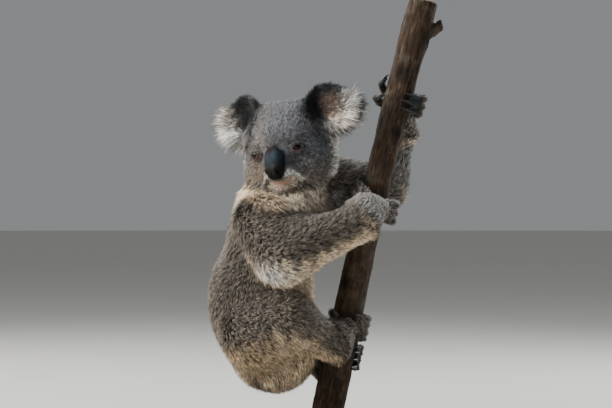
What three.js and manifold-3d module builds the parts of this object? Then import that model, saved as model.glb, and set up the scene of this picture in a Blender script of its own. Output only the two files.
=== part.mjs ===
// A koala clinging to a leaning length of eucalypt trunk, life size, on a plain display stand.
//
// Millimetres, +Z up. The origin is at the centre of the stand's underside. The animal's belly is
// turned towards +X, where the trunk is, and its face looks towards -Y. Left and right are the
// animal's own. The solids reach out to the tips of the coat.

import * as THREE from 'three';
import { mergeVertices } from 'three/addons/utils/BufferGeometryUtils.js';
import Module from 'manifold-3d';

const wasm = await Module();
wasm.setup();

const { degToRad } = THREE.MathUtils;
const v = (x, y, z) => new THREE.Vector3(x, y, z);

// ---- driving dimensions ----

const GAP = 0.35;                         // clearance between neighbouring solids

const BASE = { width: 420, depth: 340, thickness: 18, corner: 26, bevel: 2 };
const ROD = { radius: 11, sides: 16 };

const PERCH = {
  footX: 30,                              // where the trunk's axis would meet the floor
  lean: degToRad(13.2),                   // towards +X
  bow: 7,                                 // of the middle, towards -X
  bottom: 60,                             // height of the sawn lower end
  length: 790,                            // along the axis
  radius: 28.5,                           // at the lower end
  taper: 0.88,                            // top radius over bottom radius
  sides: 12,
  rings: 10,
};
const STUB = {                                                  // of a broken side branch
  height: 756, length: 62, endRadius: 9.4, footRadius: 13.8, rise: degToRad(32), sides: 12,
};

const HEAD = {
  centre: v(-24, -5, 550),
  turn: degToRad(-115),                   // from +X, about the vertical
  nod: degToRad(3),
  tilt: degToRad(10),                     // the left side raised
};
const EYE = { forward: 62, side: 41, up: -6, radius: 8.5 };
const NOSE = { forward: 78, up: -27, depth: 18, halfWidth: 19, halfHeight: 32, slope: degToRad(14) };
const EAR = { forward: 3, radius: 60, halfThickness: 19 };      // the round, fringed outline
const EARS = {
  left: { side: 1, out: 97, up: 50, turn: degToRad(36) },         // turn: of the cup, outwards
  right: { side: -1, out: 99, up: 66, turn: degToRad(25) },       // held higher than the left
};

const DIGIT = { knuckle: 7.4, tip: 5.8, sides: 6, rings: 3 };
const CLAW = { radius: 3.1, length: 19, drop: 9, sides: 5, rings: 2 };

// Middle lines of the limbs: shoulder, elbow, wrist and hip, knee, ankle, with the radii there.
const LIMBS = {
  right_arm: { joints: [v(-74, -62, 412), v(-38, -108, 354), v(104, -62, 414)], radii: [60, 55, 36] },
  left_arm: { joints: [v(36, 58, 478), v(158, 84, 478), v(186, 56, 578)], radii: [64, 42, 27] },
  right_leg: { joints: [v(-80, -52, 214), v(-32, -94, 236), v(54, -60, 186)], radii: [80, 54, 32] },
  left_leg: { joints: [v(-80, 64, 206), v(-20, 104, 214), v(46, 62, 140)], radii: [80, 52, 32] },
};

const CELL = { torso: 30, head: 16.5, nose: 10, ear: 16, limb: 29, paw: 19 };   // mesh size of each region

const COLOUR = {
  coat: 0x7f7a78, belly: 0xc9bfb2, ear: 0xb9b3ae, paw: 0x3a3634, claw: 0x1d1b1b,
  nose: 0x2a2b2e, eye: 0x2c1a12, bark: 0x6a4c39, stand: 0x2b2b2b, rod: 0x8b8d90,
};

// ---- soft shapes: each is { at(x, y, z) -> distance, box } ----

function ellipsoid(centre, radii, turn = new THREE.Quaternion()) {
  const back = turn.clone().invert();
  const local = v(0, 0, 0);
  const reach = Math.max(radii.x, radii.y, radii.z);
  return {
    at(x, y, z) {
      local.set(x - centre.x, y - centre.y, z - centre.z).applyQuaternion(back);
      const near = Math.hypot(local.x / radii.x, local.y / radii.y, local.z / radii.z);
      const steep = Math.hypot(local.x / radii.x ** 2, local.y / radii.y ** 2, local.z / radii.z ** 2);
      return steep < 1e-9 ? -Math.min(radii.x, radii.y, radii.z) : near * (near - 1) / steep;
    },
    box: new THREE.Box3().setFromCenterAndSize(centre, v(2, 2, 2).multiplyScalar(reach)),
  };
}

const ball = (centre, radius) => ellipsoid(centre, v(radius, radius, radius));

// A straight length of limb that tapers from one round end to the other.
function taper(a, b, ra, rb) {
  const along = b.clone().sub(a);
  const square = along.lengthSq();
  return {
    at(x, y, z) {
      const t = ((x - a.x) * along.x + (y - a.y) * along.y + (z - a.z) * along.z) / square;
      const u = Math.min(1, Math.max(0, t));
      const away = Math.hypot(x - a.x - along.x * u, y - a.y - along.y * u, z - a.z - along.z * u);
      return away - ra - (rb - ra) * u;
    },
    box: new THREE.Box3().setFromPoints([a, b]).expandByScalar(Math.max(ra, rb)),
  };
}

// Shapes run into each other with a fillet of about this size.
function blend(fillet, ...shapes) {
  const box = new THREE.Box3();
  shapes.forEach((s) => box.union(s.box));
  return {
    at(x, y, z) {
      let d = Infinity;
      for (const s of shapes) {
        const e = s.at(x, y, z);
        const h = Math.max(fillet - Math.abs(d - e), 0) / fillet;
        d = Math.min(d, e) - (Number.isFinite(h) ? h * h * fillet / 4 : 0);
      }
      return d;
    },
    box: box.expandByScalar(fillet / 2),
  };
}

function hollowed(fillet, shape, ...tools) {
  return {
    at(x, y, z) {
      let d = shape.at(x, y, z);
      for (const tool of tools) {
        const e = -tool.at(x, y, z);
        const h = Math.max(fillet - Math.abs(d - e), 0) / fillet;
        d = Math.max(d, e) + h * h * fillet / 4;
      }
      return d;
    },
    box: shape.box,
  };
}

// A chain of tapers through the points, with a radius at each.
const chain = (fillet, points, radii) => blend(fillet, ...points.slice(1).map(
  (p, i) => taper(points[i], p, radii[i], radii[i + 1])));

// ---- meshing: one vertex in each grid cell that the surface crosses, drawn onto the surface ----

const CORNERS = [0, 1, 2, 3, 4, 5, 6, 7].map((i) => [i & 1, (i >> 1) & 1, (i >> 2) & 1]);
const EDGES = [
  [0, 1], [2, 3], [4, 5], [6, 7], [0, 2], [1, 3], [4, 6], [5, 7], [0, 4], [1, 5], [2, 6], [3, 7],
];
const GRID_SHIFTS = [0.5, 0.23, 0.81, 0.37, 0.66];

function meshOf(shape, cell, region, grow, shift) {
  const box = shape.box.clone();
  if (region) box.intersect(region);
  const low = box.min.clone().subScalar(cell * (1 + shift));
  const size = box.max.clone().sub(low).divideScalar(cell).addScalar(2).ceil();
  const [nx, ny, nz] = [size.x + 1, size.y + 1, size.z + 1];
  const inRegion = (x, y, z) => (region
    ? Math.max(region.min.x - x, x - region.max.x, region.min.y - y, y - region.max.y,
      region.min.z - z, z - region.max.z)
    : -Infinity);
  const at = (x, y, z) => Math.max(shape.at(x, y, z), inRegion(x, y, z)) || 1e-6;
  const index = (i, j, k) => i + nx * (j + ny * k);
  const value = new Float64Array(nx * ny * nz);
  for (let k = 0; k < nz; k++) {
    for (let j = 0; j < ny; j++) {
      for (let i = 0; i < nx; i++) {
        value[index(i, j, k)] = at(low.x + i * cell, low.y + j * cell, low.z + k * cell);
      }
    }
  }
  const vertexOf = new Int32Array(nx * ny * nz).fill(-1);
  const points = [];
  for (let k = 0; k < nz - 1; k++) {
    for (let j = 0; j < ny - 1; j++) {
      for (let i = 0; i < nx - 1; i++) {
        const d = CORNERS.map(([a, b, c]) => value[index(i + a, j + b, k + c)]);
        const crossed = EDGES.filter(([a, b]) => d[a] < 0 !== d[b] < 0);
        if (!crossed.length) continue;
        const sum = v(0, 0, 0);
        for (const [a, b] of crossed) {
          const t = d[a] / (d[a] - d[b]);
          sum.add(v(...CORNERS[a]).lerp(v(...CORNERS[b]), t));
        }
        sum.divideScalar(crossed.length).add(v(i, j, k)).multiplyScalar(cell).add(low);
        vertexOf[index(i, j, k)] = points.length;
        points.push(sum);
      }
    }
  }
  const triangles = [];
  const quad = (a, b, c, d, flip) => {
    const [p, q, r, s] = flip ? [d, c, b, a] : [a, b, c, d];
    if (points[p].distanceToSquared(points[r]) <= points[q].distanceToSquared(points[s])) {
      triangles.push(p, q, r, p, r, s);
    } else triangles.push(p, q, s, q, r, s);
  };
  for (let k = 1; k < nz - 1; k++) {
    for (let j = 1; j < ny - 1; j++) {
      for (let i = 1; i < nx - 1; i++) {
        const here = value[index(i, j, k)] < 0;
        const cellAt = (a, b, c) => vertexOf[index(i - a, j - b, k - c)];
        if (here !== value[index(i + 1, j, k)] < 0) {
          quad(cellAt(0, 1, 1), cellAt(0, 0, 1), cellAt(0, 0, 0), cellAt(0, 1, 0), !here);
        }
        if (here !== value[index(i, j + 1, k)] < 0) {
          quad(cellAt(1, 0, 1), cellAt(1, 0, 0), cellAt(0, 0, 0), cellAt(0, 0, 1), !here);
        }
        if (here !== value[index(i, j, k + 1)] < 0) {
          quad(cellAt(1, 1, 0), cellAt(0, 1, 0), cellAt(0, 0, 0), cellAt(1, 0, 0), !here);
        }
      }
    }
  }
  const step = cell * 0.05;
  const most = cell * 0.45;
  for (const p of points) {
    for (let round = 0; round < 3; round++) {
      const d = at(p.x, p.y, p.z) - grow;
      const slope = v(
        at(p.x + step, p.y, p.z) - at(p.x - step, p.y, p.z),
        at(p.x, p.y + step, p.z) - at(p.x, p.y - step, p.z),
        at(p.x, p.y, p.z + step) - at(p.x, p.y, p.z - step)).divideScalar(2 * step);
      const steep = Math.max(slope.lengthSq(), 0.25);
      p.addScaledVector(slope, -Math.min(most, Math.max(-most, d)) / steep);
    }
  }
  return { positions: new Float32Array(points.flatMap((p) => [p.x, p.y, p.z])), triangles };
}

function solidFrom(positions, triangles) {
  return new wasm.Manifold(new wasm.Mesh({
    numProp: 3, vertProperties: positions, triVerts: new Uint32Array(triangles),
  }));
}

// A soft shape as a solid. Where a grid leaves two sheets in one cell, the next one is tried.
function solid(shape, cell, { region = null, grow = 0 } = {}) {
  for (const shift of GRID_SHIFTS) {
    try {
      const { positions, triangles } = meshOf(shape, cell, region, grow, shift);
      return largest(solidFrom(positions, triangles));
    } catch (problem) {
      if (shift === GRID_SHIFTS.at(-1)) throw problem;
    }
  }
  return null;
}

function largest(made) {
  const pieces = made.decompose();
  return pieces.reduce((best, piece) => (piece.volume() > best.volume() ? piece : best));
}

// A three.js geometry as a solid, for the cuts.
function solidOf(geometry) {
  const bare = geometry.clone();
  bare.deleteAttribute('normal');
  bare.deleteAttribute('uv');
  const merged = mergeVertices(bare, 1e-4);
  return solidFrom(new Float32Array(merged.attributes.position.array), merged.index.array);
}

// ---- cuts ----

const CUT_SIZE = 1200;

// The half of space that lies ahead of a point, in a direction.
function ahead(point, direction) {
  const block = new THREE.BoxGeometry(CUT_SIZE, CUT_SIZE, CUT_SIZE).translate(0, 0, CUT_SIZE / 2);
  block.applyQuaternion(new THREE.Quaternion().setFromUnitVectors(v(0, 0, 1), direction));
  return solidOf(block.translate(point.x, point.y, point.z));
}

// Cuts a solid across at a point and returns what lies behind and ahead, a gap apart.
function across(whole, point, direction) {
  const n = direction.clone().normalize();
  const front = ahead(point.clone().addScaledVector(n, GAP / 2), n);
  const back = ahead(point.clone().addScaledVector(n, -GAP / 2), n.clone().negate());
  return [largest(whole.intersect(back)), largest(whole.intersect(front))];
}

// The direction of a chain of points where it bends at one of them.
function bendAt(points, i) {
  const before = points[i].clone().sub(points[i - 1]).normalize();
  const after = points[i + 1].clone().sub(points[i]).normalize();
  return before.add(after).normalize();
}

const cutBy = (whole, ...tools) => largest(tools.reduce((left, tool) => left.subtract(tool), whole));

// ---- the trunk, and places round it ----

const perchAxis = v(Math.sin(PERCH.lean), 0, Math.cos(PERCH.lean));
const perchSide = v(Math.cos(PERCH.lean), 0, -Math.sin(PERCH.lean));
const perchBow = (z) => -PERCH.bow * Math.sin(Math.PI * (z - PERCH.bottom) / PERCH.length);
const perchAt = (z) => v(PERCH.footX + z * Math.tan(PERCH.lean) + perchBow(z), 0, z);

// A point at a height and an angle round the trunk: 0 is +X, 90 degrees is +Y.
function onPerch(z, degrees, radius) {
  const a = degToRad(degrees);
  return perchAt(z).addScaledVector(perchSide, radius * Math.cos(a)).add(v(0, radius * Math.sin(a), 0));
}

// The bark surface swells and bends a little along its length.
function perchRadius(share, angle) {
  const swell = 0.035 * Math.sin(share * 9 + 0.6) + 0.03 * Math.cos(2 * angle + share * 5);
  return PERCH.radius * (1 + (PERCH.taper - 1) * share) * (1 + swell);
}

function perchGeometry(grow) {
  const made = new THREE.CylinderGeometry(1, 1, PERCH.length, PERCH.sides, PERCH.rings);
  const at = made.attributes.position;
  for (let i = 0; i < at.count; i++) {
    const share = at.getY(i) / PERCH.length + 0.5;
    const angle = Math.atan2(at.getZ(i), at.getX(i));
    const edge = Math.hypot(at.getX(i), at.getZ(i)) * (perchRadius(share, angle) + grow);
    at.setXYZ(i, edge * Math.cos(angle), at.getY(i), edge * Math.sin(angle));
  }
  made.rotateX(Math.PI / 2).rotateY(PERCH.lean);
  const start = PERCH.bottom - PERCH.radius * Math.sin(PERCH.lean) * 1.2;
  const middle = v(PERCH.footX + start * Math.tan(PERCH.lean), 0, start);
  middle.addScaledVector(perchAxis, PERCH.length / 2);
  made.translate(middle.x, middle.y, middle.z);
  for (let i = 0; i < at.count; i++) at.setX(i, at.getX(i) + perchBow(at.getZ(i)));
  return made;
}

function perchSolid(grow = 0) {
  const trunk = solidOf(perchGeometry(grow));
  const from = perchAt(STUB.height);
  const out = perchSide.clone().multiplyScalar(Math.cos(STUB.rise));
  out.addScaledVector(perchAxis, Math.sin(STUB.rise));
  const { endRadius, footRadius, length, sides } = STUB;
  const stub = new THREE.CylinderGeometry(endRadius + grow, footRadius + grow, length, sides, 2)
    .applyQuaternion(new THREE.Quaternion().setFromUnitVectors(v(0, 1, 0), out));
  const middle = from.addScaledVector(out, STUB.length / 2);
  return trunk.add(solidOf(stub.translate(middle.x, middle.y, middle.z)))
    .intersect(ahead(v(0, 0, PERCH.bottom), v(0, 0, 1)));
}

// ---- torso and neck ----

const neckShapes = [
  taper(v(-34, 2, 446), v(-20, -3, 512), 70, 68),                   // throat
  taper(v(-54, 8, 440), v(-50, 12, 520), 64, 60),                   // nape
];
const torsoShape = blend(26,
  ellipsoid(v(-80, 6, 286), v(98, 106, 100)),                       // belly and loins
  taper(v(-80, 6, 236), v(-56, 6, 178), 94, 84),                    // rump
  ellipsoid(v(-50, 4, 388), v(94, 96, 84)),                         // ribs
  taper(v(-52, -36, 416), v(8, 42, 440), 68, 62),                   // shoulder girdle, left side raised
  ...neckShapes);
const NECK_BASE = { point: v(-30, 2, 450), direction: v(0.1, -0.06, 1) };
const NECK_TOP = { point: v(-24, -2, 482), direction: v(0.1, -0.06, 1) };

// ---- head ----

const headTurn = new THREE.Quaternion().setFromEuler(new THREE.Euler(HEAD.tilt, HEAD.nod, HEAD.turn, 'ZYX'));
// A point of the head: ahead of its middle, to its left, and up.
const inHead = (forward, left, up) => v(forward, left, up).applyQuaternion(headTurn).add(HEAD.centre);
function headBall(forward, left, up, rf, rl, ru) {
  return ellipsoid(inHead(forward, left, up), v(rf, rl, ru), headTurn);
}

const SIDES = { left: 1, right: -1 };

const eyeAt = (side) => inHead(EYE.forward, side * EYE.side, EYE.up);
const eyeOut = (side) => v(0.86, side * 0.5, 0.06).normalize().applyQuaternion(headTurn);
const nosePitch = headTurn.clone().multiply(
  new THREE.Quaternion().setFromAxisAngle(v(0, 1, 0), -NOSE.slope));

const headShape = hollowed(5, blend(12,
  headBall(-12, 0, 12, 72, 78, 72),                                 // skull
  headBall(-6, 36, 26, 56, 46, 56),                                 // temples
  headBall(-6, -38, 30, 56, 46, 57),
  headBall(26, 0, 10, 48, 58, 48),                                  // forehead
  headBall(8, 38, -24, 54, 46, 50),                                 // cheeks
  headBall(8, -38, -24, 54, 46, 50),
  headBall(52, 0, -32, 34, 38, 33),                                 // muzzle
  headBall(44, 0, -58, 28, 29, 20),                                 // chin
  headBall(2, 0, -60, 56, 70, 38),                                  // ruff
  ...neckShapes),
...Object.values(SIDES).map((side) => ball(eyeAt(side).addScaledVector(eyeOut(side), 11), 9)));

function noseShape() {
  const size = v(NOSE.depth, NOSE.halfWidth, NOSE.halfHeight);
  return ellipsoid(inHead(NOSE.forward, 0, NOSE.up), size, nosePitch);
}

// The space behind the nose pad, which keeps the pad from reaching deep into the muzzle.
function behindNose() {
  const point = inHead(NOSE.forward - 10, 0, NOSE.up);
  const back = v(-1, 0, 0).applyQuaternion(nosePitch);
  return ahead(point, back);
}

function earShape({ side, out, up, turn }) {
  const turned = headTurn.clone().multiply(
    new THREE.Quaternion().setFromEuler(new THREE.Euler(0, degToRad(-8), side * turn, 'ZYX')));
  const centre = inHead(EAR.forward, side * out, up);
  const cup = v(EAR.halfThickness * 1.25, 0, 0).applyQuaternion(turned).add(centre);
  return hollowed(6,
    ellipsoid(centre, v(EAR.halfThickness, EAR.radius, EAR.radius), turned),
    ellipsoid(cup, v(EAR.halfThickness * 0.95, EAR.radius * 0.62, EAR.radius * 0.62), turned));
}

// ---- paws: digits curl round the trunk ----

// A digit's middle line, from its root in the palm to the claw, as heights and angles round the trunk.
function digitLine({ root, tip, from, to, lift = 4 }, steps = 4) {
  const bark = PERCH.radius * 0.95;
  return Array.from({ length: steps }, (_, i) => {
    const t = i / (steps - 1);
    const radius = bark + DIGIT.tip + 1 + lift * Math.sin(Math.PI * t) + (1 - t) * 3;
    return onPerch(root + (tip - root) * t, from + (to - from) * t, radius);
  });
}

// Three fingers close one way round the trunk and two thumbs the other way.
const PAWS = {
  left_hand: {
    limb: 'left_arm',
    palm: [onPerch(602, 68, 44), onPerch(632, 80, 36)],
    palmRadii: [25, 20],
    digits: {
      finger_1: { root: 646, tip: 650, from: 62, to: -40, lift: 13 },
      finger_2: { root: 633, tip: 637, from: 60, to: -50, lift: 13 },
      finger_3: { root: 620, tip: 623, from: 58, to: -40, lift: 11 },
      thumb_1: { root: 638, tip: 668, from: 106, to: 184 },
      thumb_2: { root: 622, tip: 637, from: 110, to: 190, lift: 7 },
    },
  },
  right_hand: {
    limb: 'right_arm',
    palm: [onPerch(430, -102, 52), onPerch(438, -76, 42)],
    palmRadii: [30, 21],
    digits: {
      finger_1: { root: 451, tip: 453, from: -60, to: 44, lift: 10 },
      finger_2: { root: 437, tip: 438, from: -58, to: 50, lift: 10 },
      finger_3: { root: 424, tip: 421, from: -60, to: 42, lift: 9 },
      thumb_1: { root: 454, tip: 484, from: -100, to: -178 },
      thumb_2: { root: 444, tip: 466, from: -112, to: -186, lift: 7 },
    },
  },
  right_foot: {
    limb: 'right_leg',
    palm: [onPerch(200, -104, 50), onPerch(218, -84, 40)],
    palmRadii: [25, 18],
    digits: {
      toe_1: { root: 237, tip: 244, from: -66, to: 18 },
      toe_2: { root: 227, tip: 233, from: -62, to: 26 },
      toe_3: { root: 215, tip: 217, from: -62, to: 30 },
      toe_4: { root: 203, tip: 204, from: -66, to: 24 },
      big_toe: { root: 222, tip: 240, from: -104, to: -156, clawless: true },
    },
  },
  left_foot: {
    limb: 'left_leg',
    palm: [onPerch(152, 104, 50), onPerch(169, 84, 40)],
    palmRadii: [25, 18],
    digits: {
      toe_1: { root: 185, tip: 187, from: 66, to: -12 },
      toe_2: { root: 175, tip: 177, from: 62, to: -6 },
      toe_3: { root: 163, tip: 164, from: 62, to: -4 },
      toe_4: { root: 150, tip: 150, from: 66, to: -10 },
      big_toe: { root: 171, tip: 189, from: 104, to: 156, clawless: true },
    },
  },
};

function palmShape(paw) {
  const { joints, radii } = LIMBS[paw.limb];
  return chain(12, [joints[1], joints[2], ...paw.palm], [radii[1], radii[2], ...paw.palmRadii]);
}

// Bends a shape that stands on y = 0 so that its Y axis follows a curve round the trunk.
function alongCurve(geometry, curve) {
  const length = curve.getLength();
  const at = geometry.attributes.position;
  for (let i = 0; i < at.count; i++) {
    const t = Math.min(1, Math.max(0, at.getY(i) / length));
    const middle = curve.getPointAt(t);
    const forward = curve.getTangentAt(t);
    const out = middle.clone().sub(perchAt(middle.z)).projectOnPlane(perchAxis);
    out.projectOnPlane(forward).normalize();
    const sideways = out.clone().cross(forward);
    middle.addScaledVector(forward, at.getY(i) - t * length)
      .addScaledVector(out, at.getX(i)).addScaledVector(sideways, at.getZ(i));
    at.setXYZ(i, middle.x, middle.y, middle.z);
  }
  return geometry;
}

function digitGeometry(digit) {
  const curve = new THREE.CatmullRomCurve3(digitLine(digit));
  const length = curve.getLength();
  const { knuckle, tip, sides, rings } = DIGIT;
  const made = new THREE.CapsuleGeometry(1, length, 1, sides, rings);
  made.translate(0, length / 2, 0);
  const at = made.attributes.position;
  for (let i = 0; i < at.count; i++) {
    const radius = knuckle + (tip - knuckle) * Math.min(1, Math.max(0, at.getY(i) / length));
    const beyond = at.getY(i) < 0 ? at.getY(i) : Math.max(0, at.getY(i) - length);
    at.setXYZ(i, at.getX(i) * radius, at.getY(i) + beyond * (radius - 1), at.getZ(i) * radius);
  }
  return alongCurve(made, curve);
}

// A claw leaves the end of its digit and hooks down onto the bark.
function clawGeometry(digit) {
  const line = digitLine(digit);
  const tip = line.at(-1);
  const forward = tip.clone().sub(line.at(-2)).normalize();
  const out = tip.clone().sub(perchAt(tip.z)).projectOnPlane(perchAxis).normalize();
  const start = tip.clone().addScaledVector(forward, DIGIT.tip + GAP);
  const hook = start.clone().addScaledVector(forward, CLAW.length * 0.55);
  const end = hook.clone().addScaledVector(forward, CLAW.length * 0.3).addScaledVector(out, -CLAW.drop);
  const curve = new THREE.QuadraticBezierCurve3(start, hook, end);
  const length = curve.getLength();
  const made = new THREE.ConeGeometry(CLAW.radius, length, CLAW.sides, CLAW.rings);
  return alongCurve(made.translate(0, length / 2, 0), curve);
}

// ---- solids ----

const solids = {};

const perchClear = perchSolid(GAP);
solids.perch_trunk = perchSolid();

const headRegion = new THREE.Box3(v(-400, -400, NECK_TOP.point.z - 30), v(400, 400, 900));
const torsoRegion = new THREE.Box3(v(-400, -400, 0), v(400, 400, NECK_TOP.point.z + 30));
const torsoWhole = solid(torsoShape, CELL.torso, { region: torsoRegion });
const torsoClear = solid(torsoShape, CELL.torso, { region: torsoRegion, grow: GAP });
const headWhole = solid(headShape, CELL.head, { region: headRegion });
const headClear = solid(headShape, CELL.head, { region: headRegion, grow: GAP });

const [trunkPart, neckUp] = across(torsoWhole, NECK_BASE.point, NECK_BASE.direction);
const [neckPart] = across(neckUp, NECK_TOP.point, NECK_TOP.direction);
const [, headPart] = across(headWhole, NECK_TOP.point, NECK_TOP.direction);

solids.nose = solid(noseShape(), CELL.nose);
const noseClear = solid(noseShape(), CELL.nose, { grow: GAP });
const eyeBalls = Object.entries(SIDES).map(([name, side]) => [name, (radius) => {
  const at = eyeAt(side);
  return solidOf(new THREE.IcosahedronGeometry(radius, 1).translate(at.x, at.y, at.z));
}]);
eyeBalls.forEach(([name, eye]) => { solids[`eye_${name}`] = eye(EYE.radius); });
solids.head = cutBy(headPart, noseClear, ...eyeBalls.map(([, eye]) => eye(EYE.radius + GAP)));
solids.nose = cutBy(solids.nose, behindNose());
solids.neck = neckPart;
solids.trunk = cutBy(trunkPart, perchClear);

const core = [torsoClear, headClear];
Object.entries(EARS).forEach(([name, ear]) => {
  solids[`ear_${name}`] = cutBy(solid(earShape(ear), CELL.ear), headClear, torsoClear);
});

const SEGMENTS = { arm: ['upper_arm', 'forearm'], leg: ['thigh', 'shank'] };
const limbsClear = {};
for (const [name, { joints, radii }] of Object.entries(LIMBS)) {
  const [side, kind] = name.split('_');
  const paw = Object.values(PAWS).find((p) => p.limb === name);
  const points = [...joints, paw.palm[0]];
  const shape = chain(18, points, [...radii, paw.palmRadii[0]]);
  const whole = cutBy(solid(shape, CELL.limb), ...core, perchClear, ...Object.values(limbsClear));
  const [upper, beyond] = across(whole, points[1], bendAt(points, 1));
  const [lower] = across(beyond, points[2], bendAt(points, 2));
  solids[`${SEGMENTS[kind][0]}_${side}`] = upper;
  solids[`${SEGMENTS[kind][1]}_${side}`] = lower;
  limbsClear[name] = solid(shape, CELL.limb, { grow: GAP });
}

const claws = {};
for (const [name, paw] of Object.entries(PAWS)) {
  const joints = [...LIMBS[paw.limb].joints, ...paw.palm];
  const wrist = joints[2];
  const palm = solid(palmShape(paw), CELL.paw, {
    region: new THREE.Box3().setFromPoints([wrist, ...paw.palm]).expandByScalar(62),
  });
  const [, hand] = across(palm, wrist, bendAt(joints, 2));
  const [limbClear] = across(limbsClear[paw.limb], wrist, bendAt(joints, 2));
  const others = Object.entries(limbsClear).filter(([limb]) => limb !== paw.limb).map(([, clear]) => clear);
  let whole = hand;
  for (const [digitName, digit] of Object.entries(paw.digits)) {
    whole = whole.add(solidOf(digitGeometry(digit)));
    if (digit.clawless) continue;
    claws[`claw_${name}_${digitName}`] = cutBy(solidOf(clawGeometry(digit)), perchClear);
  }
  solids[name] = cutBy(whole, perchClear, ...core, limbClear, ...others);
}
Object.assign(solids, claws);

// ---- stand ----

function baseGeometry() {
  const { width, depth, thickness, corner, bevel } = BASE;
  const [w, d] = [width / 2 - bevel, depth / 2 - bevel];
  const outline = new THREE.Shape();
  outline.moveTo(-w + corner, -d).lineTo(w - corner, -d)
    .absarc(w - corner, -d + corner, corner, -Math.PI / 2, 0)
    .lineTo(w, d - corner).absarc(w - corner, d - corner, corner, 0, Math.PI / 2)
    .lineTo(-w + corner, d).absarc(-w + corner, d - corner, corner, Math.PI / 2, Math.PI)
    .lineTo(-w, -d + corner).absarc(-w + corner, -d + corner, corner, Math.PI, 1.5 * Math.PI);
  return new THREE.ExtrudeGeometry(outline, {
    depth: thickness - 2 * bevel, bevelThickness: bevel, bevelSize: bevel, bevelSegments: 1, curveSegments: 3,
  }).translate(0, 0, bevel);
}

function rodGeometry() {
  const length = PERCH.bottom - BASE.thickness - 2 * GAP;
  const foot = perchAt(PERCH.bottom);
  return new THREE.CylinderGeometry(ROD.radius, ROD.radius, length, ROD.sides)
    .rotateX(Math.PI / 2).translate(foot.x, 0, BASE.thickness + GAP + length / 2);
}

// ---- the scene ----

function finish(color, roughness, metalness = 0) {
  return new THREE.MeshStandardMaterial({ color, roughness, metalness });
}

const FINISHES = {
  coat: finish(COLOUR.coat, 0.95), ear: finish(COLOUR.ear, 0.95), paw: finish(COLOUR.paw, 0.8),
  claw: finish(COLOUR.claw, 0.35), nose: finish(COLOUR.nose, 0.45), eye: finish(COLOUR.eye, 0.08),
  bark: finish(COLOUR.bark, 0.85), stand: finish(COLOUR.stand, 0.5), rod: finish(COLOUR.rod, 0.3, 1),
};
const finishOf = (name) => {
  const kind = ['claw', 'nose', 'eye', 'ear'].find((k) => name.startsWith(k));
  if (kind) return FINISHES[kind];
  if (/^(left|right)_(hand|foot)$/.test(name)) return FINISHES.paw;
  return name.startsWith('perch') ? FINISHES.bark : FINISHES.coat;
};

// Each mesh turns about its own middle, so its geometry is centred and its place is its position.
function addMesh(group, name, geometry, material) {
  geometry.computeBoundingBox();
  const middle = geometry.boundingBox.getCenter(v(0, 0, 0)).round();
  geometry.translate(-middle.x, -middle.y, -middle.z);
  const mesh = new THREE.Mesh(geometry, material);
  mesh.name = name;
  mesh.position.copy(middle);
  group.add(mesh);
}

function geometryOf(made) {
  const { vertProperties, triVerts, numProp } = made.getMesh();
  const positions = new Float32Array(vertProperties.length / numProp * 3);
  for (let i = 0; i < positions.length; i++) {
    positions[i] = vertProperties[Math.floor(i / 3) * numProp + i % 3];
  }
  const geometry = new THREE.BufferGeometry();
  geometry.setAttribute('position', new THREE.BufferAttribute(positions, 3));
  geometry.setIndex(new THREE.BufferAttribute(new Uint32Array(triVerts), 1));
  geometry.computeVertexNormals();
  return geometry;
}

const koala = new THREE.Group();
for (const [name, made] of Object.entries(solids)) addMesh(koala, name, geometryOf(made), finishOf(name));

const stand = new THREE.Group();
addMesh(stand, 'stand_base', baseGeometry(), FINISHES.stand);
addMesh(stand, 'stand_rod', rodGeometry(), FINISHES.rod);

const model = new THREE.Group();
model.add(koala, stand);

export default model;
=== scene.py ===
"""A life-size koala on a leaning length of trunk, dressed over its solid frame.

Lengths are in metres, or in millimetres where the words beside them say so, in the frame's own axes: +Z up,
+X where the belly faces, -Y where the face looks. Left and right are the animal's own.
"""

from __future__ import annotations

import logging
import math
from dataclasses import dataclass, field
from enum import Enum
from typing import Iterable, Sequence

import bmesh
import bpy
import numpy as np
from mathutils import Euler, Matrix, Vector, noise
from mathutils.bvhtree import BVHTree
from mathutils.kdtree import KDTree

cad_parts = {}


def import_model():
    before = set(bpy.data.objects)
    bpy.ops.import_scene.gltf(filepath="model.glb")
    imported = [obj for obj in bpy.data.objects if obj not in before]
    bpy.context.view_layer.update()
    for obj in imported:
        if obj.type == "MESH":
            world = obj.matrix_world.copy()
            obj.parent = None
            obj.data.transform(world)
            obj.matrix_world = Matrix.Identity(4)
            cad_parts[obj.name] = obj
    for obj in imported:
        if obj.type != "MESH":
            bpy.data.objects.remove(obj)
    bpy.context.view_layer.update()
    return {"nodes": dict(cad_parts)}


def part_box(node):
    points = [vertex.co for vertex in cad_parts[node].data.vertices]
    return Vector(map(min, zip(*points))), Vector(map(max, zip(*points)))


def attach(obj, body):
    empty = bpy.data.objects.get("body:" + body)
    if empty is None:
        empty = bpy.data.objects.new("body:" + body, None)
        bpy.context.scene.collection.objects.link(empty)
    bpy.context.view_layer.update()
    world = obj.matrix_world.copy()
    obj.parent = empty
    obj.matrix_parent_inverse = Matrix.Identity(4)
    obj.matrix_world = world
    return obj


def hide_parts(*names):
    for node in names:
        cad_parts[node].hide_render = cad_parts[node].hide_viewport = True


log = logging.getLogger("koala")

Array = np.ndarray
Marks = dict[str, Array]
Material, Mesh, Piece, Socket = bpy.types.Material, bpy.types.Mesh, bpy.types.Object, bpy.types.NodeSocket

MM = 0.001
UV_MAP = "OFBake"
SIDES = ("left", "right")


# ---- small tools ----

def linear(hex_colour: str) -> tuple[float, ...]:
    """Turns an sRGB hex value into the linear colour that a shader takes, with an alpha of 1."""
    parts = [int(hex_colour[i:i + 2], 16) / 255 for i in (0, 2, 4)]
    return tuple(c / 12.92 if c <= 0.04045 else ((c + 0.055) / 1.055) ** 2.4 for c in parts) + (1.0,)


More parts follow.
